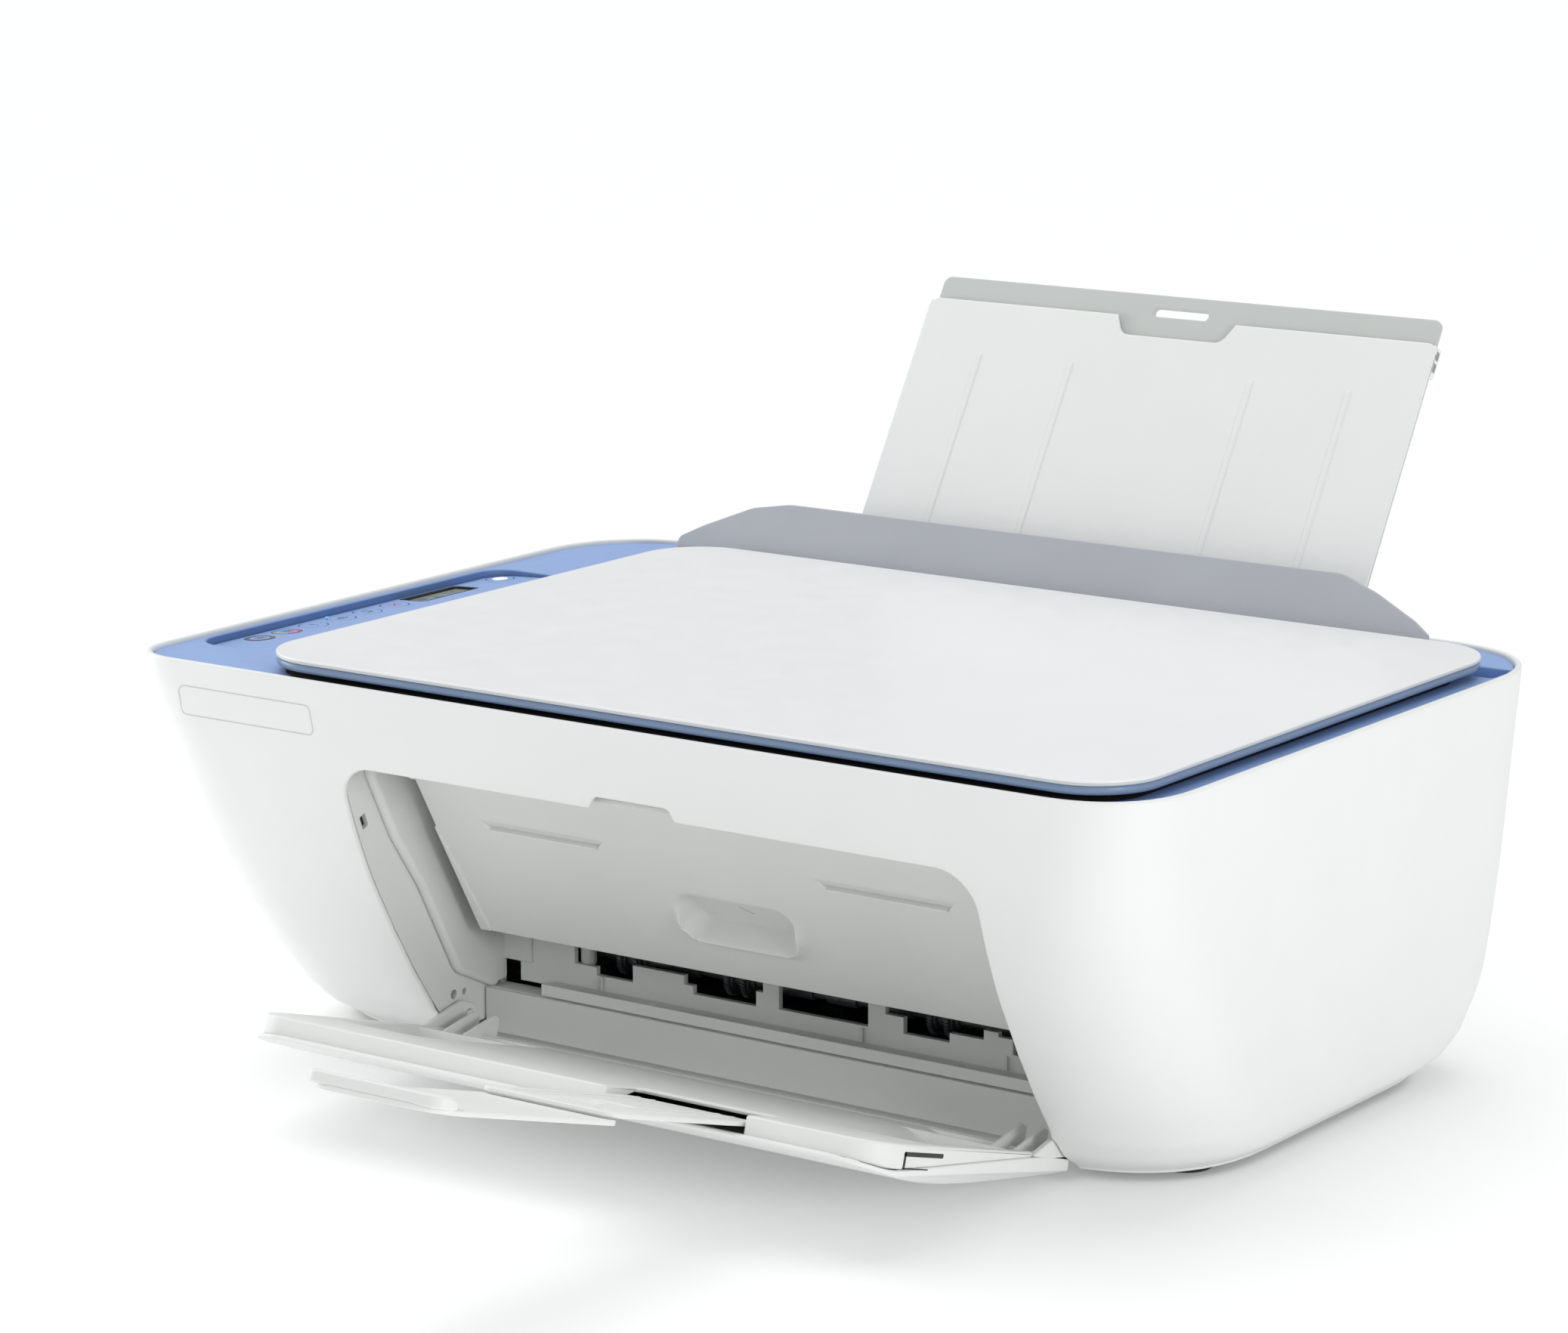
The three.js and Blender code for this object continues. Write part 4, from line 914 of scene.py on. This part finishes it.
def scoop_height(a, b):
    """The pressed handle: a hollow that deepens downwards, under a rim that stands out at its foot."""
    a0, a1, b0, b1 = SCOOP
    radius = 7.5
    qa = np.abs(a - (a0 + a1) / 2) - ((a1 - a0) / 2 - radius)
    qb = np.abs(b - (b0 + b1) / 2) - ((b1 - b0) / 2 - radius)
    out = np.hypot(np.maximum(qa, 0), np.maximum(qb, 0)) + np.minimum(np.maximum(qa, qb), 0) - radius
    down = smooth((b1 - b) / (b1 - b0))
    hollow = smooth(-out / (1.8 + 5 * (1 - down))) * (3.4 + 5.2 * down)
    rim = 2.7 * smooth((down - 0.2) / 0.6) * np.exp(-((np.abs(out) / 1.25) ** 2.4))
    skirt = 1.5 * smooth((down - 0.1) / 0.6) * smooth(1 - np.maximum(out, 0) / 4.6) * (out > 0)
    return 1.2 + np.maximum(rim, skirt) - hollow


def over_scoop(rise):
    """A height function that keeps this far over the door's face."""
    return lambda a, b: scoop_height(a, b) + rise


def access_door():
    """The inner door: a face with a handle and two catch grooves, a fold, flanges and pivot lugs."""
    left, right = DOOR_MIDDLE - DOOR_HALF, DOOR_MIDDLE + DOOR_HALF
    foot, groove_foot = -DOOR_LENGTH, GROOVE_TOP - 3.6
    grooves = [[(x0, GROOVE_TOP), (x1, GROOVE_TOP), (x1 - 3, groove_foot), (x0 + 3, groove_foot)]
               for x0, x1 in ((-80, -26), (64, 120))]
    holes = [rounded([(a, b, 0.5) for a, b in groove]) for groove in grooves]
    panel = slab(DOOR, rect(left, right, foot, 2.5, 2), over_scoop(-2.6), over_scoop(0), 0.7, steps=4,
                 holes=holes, lines=mesh_lines(around(SCOOP, 5, 9), 0.9))
    fold = rounded([(left + 0.2, foot + 0.6, 0.8), (left + 5.4, foot + 0.6, 0.8),
                    (left + 1.4, foot * 0.4, 0), (left + 0.2, foot * 0.34, 0)])
    parts = painted(INNER, panel, slab(DOOR, fold, 0.6, 1.9, 0.5))
    for groove in grooves:
        floor = offset(anticlockwise(groove), 0.8)
        lip = rect(groove[3][0] + 0.4, groove[2][0] - 0.4, groove_foot - 0.7, groove_foot + 0.1, 0.3)
        parts += [(slab(DOOR, floor, -2.8, lambda a, b: 1.0 + 0.42 * (b - GROOVE_TOP), 0.1, steps=1), INNER),
                  (slab(DOOR, lip, 0.4, 1.75, 0.3), TRAY_WHITE)]
    flange = rounded([(2, -0.4, 1.5), (2, -7.5, 3), (-8, -9.5, 4), (foot + 7, -9.5, 4), (foot, -4, 2),
                      (foot, -0.4, 0.4)])
    for x0, x1 in ((left, left + 2.4), (right - 2.4, right)):
        parts += painted(INNER, slab(DOOR_SIDE, flange, x0, x1, 0.6),
                         slab(DOOR_SIDE, disc(0, 0, 3.9, 28), x0, x1, 0.5))
    tick = slab(DOOR, stroke(20, -45.6, 24.4, -49.4, 0.4), over_scoop(-0.3), over_scoop(0.05), 0.05, steps=1)
    hem = slab(DOOR, rect(left + 3, right - 3, foot + 0.3, foot + 1.6, 0.4), -3.4, -1, 0.3)
    return [*parts, (tick, GREY), (hem, INNER)]


piece("mouth_frame", "casing", ["front_frame"], front_frame())
piece("door", "access_door", ["access_door"], access_door())

# ---- paper exit

COMB_TOP = 39.5
COMB = [  # left, right and top of every tooth and gap
    (-104, -79, COMB_TOP), (-79, -69, 33), (-69, -52.6, 30), (-52.6, -29.5, 36.3), (-29.5, -25.6, 33),
    (-25.6, 2, 30), (2, 5, 35.6), (5, 12, COMB_TOP), (12, 50, 30.6), (50, 57.4, COMB_TOP),
    (57.4, 65, 36.4), (65, 84, 30.6), (84, 98, 34), (98, 104, 37.5), (104, 110, 36), (110, 132, 30.6),
    (132, 144, COMB_TOP),
]
CLIPS = (-83, -44, -33, 8, 30, 54, 62, 96, 106, 136)
LEDGE_FRONT = -66.5
STAR_AXIS = (-46, 34.5)
STAR_PAIRS = (-61, -13, 74, 121)
HUBS = (-61, -38, -13, 12, 31, 54, 74, 97, 121)


def exit_guide():
    """The comb over the exit, the ledge and lip in front of it, and the clips that hold its shafts."""
    teeth = [(x, z) for x0, x1, z in COMB for x in (x0, x1)]
    comb = anticlockwise([(COMB[0][0], 22.6), (COMB[-1][1], 22.6), *reversed(teeth)])
    screws = [disc(x, -63.4, 1.5, 20) for x in (-40, 25, 92)]
    ledge = bar_z(rect(-88, 128, LEDGE_FRONT, -58, 0.8), 22.6, 24.6, 0.3, holes=screws)
    lip = bar_y(rect(-88, 128, 21.1, 25.5, 0.4), LEDGE_FRONT - 1.2, LEDGE_FRONT + 0.2, 0.35)
    face = bar_y(rect(-113.4, 149.4, 4.2, 20.4, 0.4), -68.2, -66.6, 0.4)
    ends = [block(x0, x1, -60.4, -50, 30, 42) for x0, x1 in ((-113.4, -98), (138, 149.4))]
    ribs = [block(x - 0.5, x + 0.5, -60.6, -59.8, 25, 30, 0.2) for x in (-66, 48, 108)]
    finger = bar_y(rect(-77.6, -71.4, 31.5, 46, 2.9), -58.4, -54.6, 1.7, steps=5)
    rail = block(-100, 140, -56, -53.4, 41.6, 44.6)
    clips = [block(x - 1.6, x + 1.6, -57.4, -53, 38.6, 45) for x in CLIPS]
    return [*painted(INNER, bar_y(comb, -59.4, -56.8, 0.35), ledge, lip, face, *ends, *ribs),
            (finger, GLOSS), *painted(BLACK, rail, *clips)]


def toothed(axis, radius, depth, teeth):
    turns = (np.arange(teeth)[:, None] + np.array((-0.28, -0.1, 0.1, 0.28))) / teeth * 2 * pi
    sizes = np.array((radius - depth, radius, radius, radius - depth))
    return np.stack((axis[0] + sizes * np.cos(turns), axis[1] + sizes * np.sin(turns)), -1).reshape(-1, 2)


def star_wheels():
    """A shaft with four pairs of toothed wheels and the hubs between them."""
    solids = [bar_x(disc(*STAR_AXIS, 1.6, 20), -102, 142, 0.3)]
    for x in (middle + side for middle in STAR_PAIRS for side in (-3.5, 3.5)):
        solids.append(bar_x(toothed(STAR_AXIS, 6.5, 0.7, 32), x - 0.9, x + 0.9, 0.12, steps=1))
        solids.append(bar_x(disc(*STAR_AXIS, 4.4, 28), x - 1.5, x + 1.5, 0.4))
    solids += [bar_x(disc(*STAR_AXIS, 2.7, 24), x - 6.5, x + 6.5, 0.5) for x in HUBS]
    return painted(LIT_WHEEL_GREY, *solids)


piece("exit_comb", "casing", ["exit_guide"], exit_guide())
piece("star_wheel_shaft", "star_wheels", ["star_wheels"], star_wheels())

# ---- output tray

TRAY_SLOPE = radians(16.3)
TRAY_OPENS = radians(47)
TRAY_IN = (0, cos(TRAY_SLOPE), -sin(TRAY_SLOPE))
TRAY = Axes((0, *HINGE), (1, 0, 0), TRAY_IN)
TRAY_SIDE = Axes((0, *HINGE), TRAY_IN, TRAY.sides[2])
TRAY_LEFT, TRAY_RIGHT = OPEN_LEFT + 0.6, OPEN_RIGHT - 0.6
TRAY_FACE = -5.1
TRAY_TIP = -120.5
PANEL_FOOT = -27  # where the panel narrows between the tray's hinge ears
ARM = (42, 96)
ARM_TIP = -190
END_TIP = -276.6


def closed_to_tray(y, z):
    """A point of the shut tray, as a place along and over the open one."""
    turn, dy, dz = TRAY_OPENS + TRAY_SLOPE, y - HINGE[0], z - HINGE[1]
    return dy * cos(turn) - dz * sin(turn), dy * sin(turn) + dz * cos(turn)


SKIN = np.array([closed_to_tray(front_at(z), z) for z in np.linspace(117.9, 5, 40)])
SEAM = np.array([(-130, -13.6), (-105, -13.6), (-86, -13.0), (-60, -12.9), (-44, -12.6), (-36, -11.4),
                 (-28, -8.2), (-22, -5.1), (20, -5.1)])


def skin_at(b):
    """The tray's outer face, which carries on the shell's front when it is shut."""
    return np.interp(b, SKIN[:, 0], SKIN[:, 1])


def seam_at(b):
    """Where the tray's skin meets its inner panel."""
    return np.maximum(np.interp(b, *SEAM.T), skin_at(b) + 1.5)


def closed(loop):
    return loop[np.r_[0 : len(loop), 0]]


def tray_body():
    """The outer skin, hollow inside its rim, with a hinge ear at both ends and four webs."""
    tip = SKIN[0, 0]
    well = tongue(TRAY_LEFT + 2.6, TRAY_RIGHT - 2.6, tip + 3, -9, 16, 1)

    def high(a, b):
        hollow = inside(np.column_stack((a, b)), well)
        return np.where(hollow, skin_at(b) + 2.2, seam_at(b))

    rims = [closed(well), closed(offset(well, -0.25))]
    outline = tongue(TRAY_LEFT, TRAY_RIGHT, tip, -2.5, 16, 1)
    skin = slab(TRAY, outline, lambda a, b: skin_at(b), high, 0.7, step=6, lines=rims)
    ear = rounded([(-27, -6.6, 0), (-24, TRAY_FACE, 4), (-5, 5, 4.5), (4.4, 4.4, 4), (4.6, -3.5, 3),
                   (-1, -7.4, 2)])
    web = rounded([(-24, -6.6, 0), (-22, TRAY_FACE, 2), (-7, 2.2, 2), (-4, 1.4, 1), (-4, -6.6, 0)])
    ears = [slab(TRAY_SIDE, ear, x, x + 2.4, 0.6, holes=[disc(0, 0, 2.2, 24)])
            for x in (TRAY_LEFT, TRAY_RIGHT - 2.4)]
    webs = [slab(TRAY_SIDE, web, x, x + 1.4, 0.35)
            for x in (TRAY_LEFT + 9, TRAY_RIGHT - 10.4, TRAY_RIGHT - 19, TRAY_LEFT + 18)]
    return [(skin, WHITE), *painted(TRAY_WHITE, *ears, *webs)]


def valley(a, b):
    """The soft dips of the panel beside both hinges."""
    mirror = np.where(a > 18, a, 36 - a)
    return 4.0 * smooth((b + 86) / 26) * smooth((mirror - 100) / 16) * smooth((146 - mirror) / 9)


def clear_of(line, left, right, depth):
    """The runs of a line that stay clear of a notch at the tray's tip."""
    in_notch = (line[:, 0] > left) & (line[:, 0] < right) & (line[:, 1] < depth)
    runs = [line[i : i + 2] for i in range(len(line) - 1) if not in_notch[i : i + 2].any()]
    return [run for run in runs
            if run[:, 1].max() >= depth or run[:, 0].min() >= left or run[:, 0].max() <= right]


def catch(x, sign):
    """A small four-sided bump on a side face of the tray."""
    near, far, low, high = -103.4, -97.2, -12.4, -9.0
    flat = np.array([(near, low), (far, low), (far, high), (near, high),
                     ((near + far) / 2, (low + high) / 2)])
    heights = [x - sign * 0.2] * 4 + [x + sign * 0.85]
    faces = [(3, 2, 1, 0), (0, 1, 4), (1, 2, 4), (2, 3, 4), (3, 0, 4)]
    return TRAY_SIDE(flat, heights), faces if sign > 0 else [f[::-1] for f in faces]


def tray_panel():
    """The tray's inner face, with a notch at its tip that the extension's end fills when it is shut."""
    notch, inner = 3.2, -11.5
    left, right = TRAY_LEFT, TRAY_RIGHT
    mouth, depth = (ARM[0] - 1.2, ARM[1] + 1.2), -101.0
    outline = rounded([(left, TRAY_TIP, 15), (mouth[0], TRAY_TIP, 1.5), (mouth[0], depth, 2),
                       (mouth[1], depth, 2), (mouth[1], TRAY_TIP, 1.5), (right, TRAY_TIP, 15),
                       (right, PANEL_FOOT, 2), (right - notch, PANEL_FOOT + 3, 2),
                       (right - notch, inner, 2), (left + notch, inner, 2),
                       (left + notch, PANEL_FOOT + 3, 2), (left, PANEL_FOOT, 2)])
    well = offset(tongue(left, right, TRAY_TIP, PANEL_FOOT, 15, 2), -5.2)

    def top(a, b):
        return TRAY_FACE - valley(a, b)

    def low(a, b):
        over_arm = (a > mouth[0] - 0.05) & (a < mouth[1] + 0.05)
        thin = inside(np.column_stack((a, b)), well) | over_arm | (b > PANEL_FOOT - 6)
        return np.where(thin, top(a, b) - 1.75, np.maximum(seam_at(b) + 0.35, -13.2))

    rims = [run for gap in (0.15, -0.15)
            for run in clear_of(closed(offset(well, gap)), mouth[0] - 0.3, mouth[1] + 0.3, depth)]
    apron = slab(TRAY, rect(left + 21, right - 21, -13, 5.6, 1), TRAY_FACE - 2, TRAY_FACE - 0.15, 0.6)
    parts = painted(TRAY_WHITE, slab(TRAY, outline, low, top, 0.95, step=3.2, lines=rims), apron)
    # The slots in the tray's sides are thin black slabs: painted shade in place of cuts.
    gaps = (rect(-105.2, -82, -8.9, -7.4, 0.5), rect(-105.2, -103.9, -12.9, -7.4, 0.5),
            rect(-105, -90, -13, -12.6, 0.2))
    for x, sign in ((right, 1), (left, -1)):
        near, far = sorted((x - sign * 0.4, x + sign * 0.06))
        parts += painted(BLACK, *(slab(TRAY_SIDE, gap, near, far, 0.03, steps=1) for gap in gaps))
        parts.append((catch(x, sign), TRAY_WHITE))
    return parts


def first_arm():
    """The plate that slides out of the tray, with a square hole and four ribs."""
    hole = rect(60, 78, ARM_TIP + 18, ARM_TIP + 40, 4)
    plate = slab(TRAY, tongue(*ARM, ARM_TIP, ARM_TIP + 81.5, 6, 4), -9.2, -7.6, 0.5, holes=[hole], steps=4)
    ribs = [slab(TRAY, rect(x - 0.8, x + 0.8, ARM_TIP + 6, ARM_TIP + 77, 0.7), -8, -7.1, 0.3)
            for x in (50, 56, 82, 88)]
    return painted(TRAY_WHITE, plate, *ribs)


def second_arm():
    """The end of the extension: a plate with a paper stop that turns up at its tip."""
    def stop_height(a, b):
        return -8.6 + 2.6 * smooth((END_TIP + 12 - b) / 8)

    plate = slab(TRAY, tongue(*ARM, END_TIP, END_TIP + 91, 12, 4), -11.6, -9.9, 0.5, steps=4)
    stop = slab(TRAY, tongue(*ARM, END_TIP, END_TIP + 11, 5.4, 4), -10.1, stop_height, 1.0, steps=5, step=3)
    # A grey line at the foot of the stop: painted shade of its crease.
    crease = rect(ARM[0] + 1, ARM[1] - 1, END_TIP + 12.4, END_TIP + 12.9, 0.2)
    rails = [slab(TRAY, rect(x - 0.9, x + 0.9, END_TIP + 16, END_TIP + 88, 0.8), -12.0, -11.4, 0.25)
             for x in (48, 90)]
    return [*painted(TRAY_WHITE, plate, stop), (slab(TRAY, crease, -10, -9.86, 0.03, steps=1), GREY),
            *painted(TRAY_WHITE, *rails)]


piece("tray_skin", "output_tray", ["output_tray"], tray_body())
piece("tray_panel", "output_tray", ["tray_liner"], tray_panel())
piece("arm", "tray_extender", ["tray_extender"], first_arm())
piece("arm_end", "extender_end", ["extender_end"], second_arm())

# ---- back and underside


def rear_cover():
    """A bulged cover over the paper path, with upright ribs."""
    x0, x1, z0, z1 = REAR_HOLE
    box = (-x1 - 6, -x0 + 6, z0 - 4, z1 + 4)

    def bulge(a, b):
        return 143.0 + 11.0 * smooth(edge_gap(a, b, box) / 16) ** 0.8

    cover = slab(BACKING, around(box, 0, 9), lambda a, b: bulge(a, b) - 2.4, bulge, 0.6, step=3)
    ribs = [rect(-x - 1, -x + 1, 62, 92, 0.8) for x in range(-30, 80, 9)]
    return painted(INNER, cover, *(slab(BACKING, rib, 152.6, 154, 0.4) for rib in ribs))


def socket(name):
    """A black socket in the back, with its floor, and its contacts or its tongue."""
    x0, x1, z0, z1 = SOCKETS[name]
    rear = float(section((z0 + z1) / 2)[2])
    box = (-x1, -x0, z0, z1)
    mouth = around(box, -4, 1.5)
    a, b = (x0 + x1) / -2, (z0 + z1) / 2
    floor = slab(BACKING, offset(mouth, 1.5), rear - 20, rear - 15, 0.4)
    parts = [(slab(BACKING, around(box, -0.4, 2), rear - 20, rear + 0.4, 0.5, holes=[mouth]), BLACK),
             (floor, STEEL)]
    if name == "usb":
        tongue = rect(a - 1.6, a + 1.6, b - 1, b + 1, 0.4)
        return parts + [(slab(BACKING, tongue, rear - 15.5, rear - 3, 0.3), WHITE)]
    pins = [rect(a + side - 1, a + side + 1, b - 2.4, b + 2.4, 0.6) for side in (-5, 5)]
    return parts + painted(STEEL, *(slab(BACKING, pin, rear - 15.5, rear - 4, 0.4) for pin in pins))


def foot(name):
    low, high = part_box(name)
    x, y = (low.x + high.x) / 2 / MM, (low.y + high.y) / 2 / MM - SHIFT
    return painted(RUBBER, bar_z(disc(x, y, 10, 40), 0, 4.2, 1.2, steps=4),
                   bar_z(disc(x, y, 8, 40), 4.0, 5.0, 0.3))


piece("back_cover", "casing", ["rear_cover"], rear_cover())
piece("inlet_socket", "casing", ["power_inlet"], socket("inlet"))
piece("usb_socket", "casing", ["usb_port"], socket("usb"))
for which in ("foot_front_left", "foot_front_right", "foot_rear_left", "foot_rear_right"):
    piece(which + "_pad", "casing", [which], foot(which))

KEPT = (
    (BLACK, "scanner_tub scan_bar platen service_station power_supply carriage black_cartridge"),
    (STEEL, "chassis carriage_rail carriage_motor feed_motor motor_pulley"),
    (RUBBER, "drive_belt transfer_belt feed_roller exit_roller pinch_roller pick_roller"),
    (BOARD, "control_board main_board"),
    (INNER, "feed_chute idler_pulley"),
    (GREY, "base_pan colour_cartridge"),
    (SMOKE, "encoder_strip"),
)
for material, names in KEPT:
    for name in names.split():
        refine(name, material)

# ---- room, light and camera

SKY = 0.55
FLOOR_GLOW = 0.13
FLOOR_HALF, FLOOR_LINES = 30.0, 24
SUN_FROM, SUN_STRENGTH, SUN_SPREAD = (-0.35, 0.2, 0.93), 1.45, 70
LAMPS = {  # place, size and watts
    "key": ((-0.9, -0.24, 0.26), 0.4, 2.3),
    "strip": ((1.65, -0.64, 0.5), 0.5, 7.6),
}
CAMERA_TURN, CAMERA_RISE, CAMERA_DISTANCE, LENS = radians(35.39), radians(11.96), 1.7852, 113.2
CAMERA_AIM = Vector((-27.94 * MM, SHIFT * MM, 138.9 * MM))


def floor():
    """White paper, which glows a little as if it were lit through."""
    count = FLOOR_LINES
    ticks = np.linspace(-FLOOR_HALF, FLOOR_HALF, count)
    corners = [j * count + i for j in range(count - 1) for i in range(count - 1)]
    mesh = bpy.data.meshes.new("floor")
    mesh.from_pydata([(x, y, 0) for y in ticks for x in ticks], [],
                     [(c, c + 1, c + count + 1, c + count) for c in corners])
    paper = moulded("floor_paper", "#f4f4f4", 0.9, grain=0.02, depth=0.0, vary=0.004)
    mesh.materials.append(glows(paper, (1, 1, 1), FLOOR_GLOW))
    placed("floor", mesh)


def lights():
    """A pale sky, a wide sun from above, a small lamp on the left and a stronger one on the right."""
    world = bpy.data.worlds.new("soft_white")
    world.use_nodes = True
    sky = world.node_tree.nodes["Background"].inputs
    sky["Color"].default_value = (0.97, 0.985, 1.0, 1)
    sky["Strength"].default_value = SKY
    bpy.context.scene.world = world
    sun = bpy.data.lights.new("sun", "SUN")
    sun.energy = SUN_STRENGTH
    sun.angle = radians(SUN_SPREAD)
    placed("sun", sun).rotation_euler = Vector(SUN_FROM).to_track_quat("Z", "Y").to_euler()
    for name, (place, size, watts) in LAMPS.items():
        light = bpy.data.lights.new(name, "AREA")
        light.shape = "DISK"
        light.size = size
        light.energy = watts
        made = placed(name, light)
        made.location = place
        made.rotation_euler = (Vector((0, 0, 0.1)) - Vector(place)).to_track_quat("-Z", "Y").to_euler()


def camera():
    """The photograph's view: from the right front, a little from above, with a long lens."""
    level = cos(CAMERA_RISE)
    back = Vector((sin(CAMERA_TURN) * level, -cos(CAMERA_TURN) * level, sin(CAMERA_RISE)))
    data = bpy.data.cameras.new("camera")
    data.lens = LENS
    data.sensor_width = 36
    data.clip_end = 100
    made = placed("camera", data)
    made.location = CAMERA_AIM + back * CAMERA_DISTANCE
    made.rotation_euler = (-back).to_track_quat("-Z", "Y").to_euler()
    bpy.context.scene.camera = made


floor()
lights()
camera()
bpy.context.scene.view_settings.view_transform = "Standard"
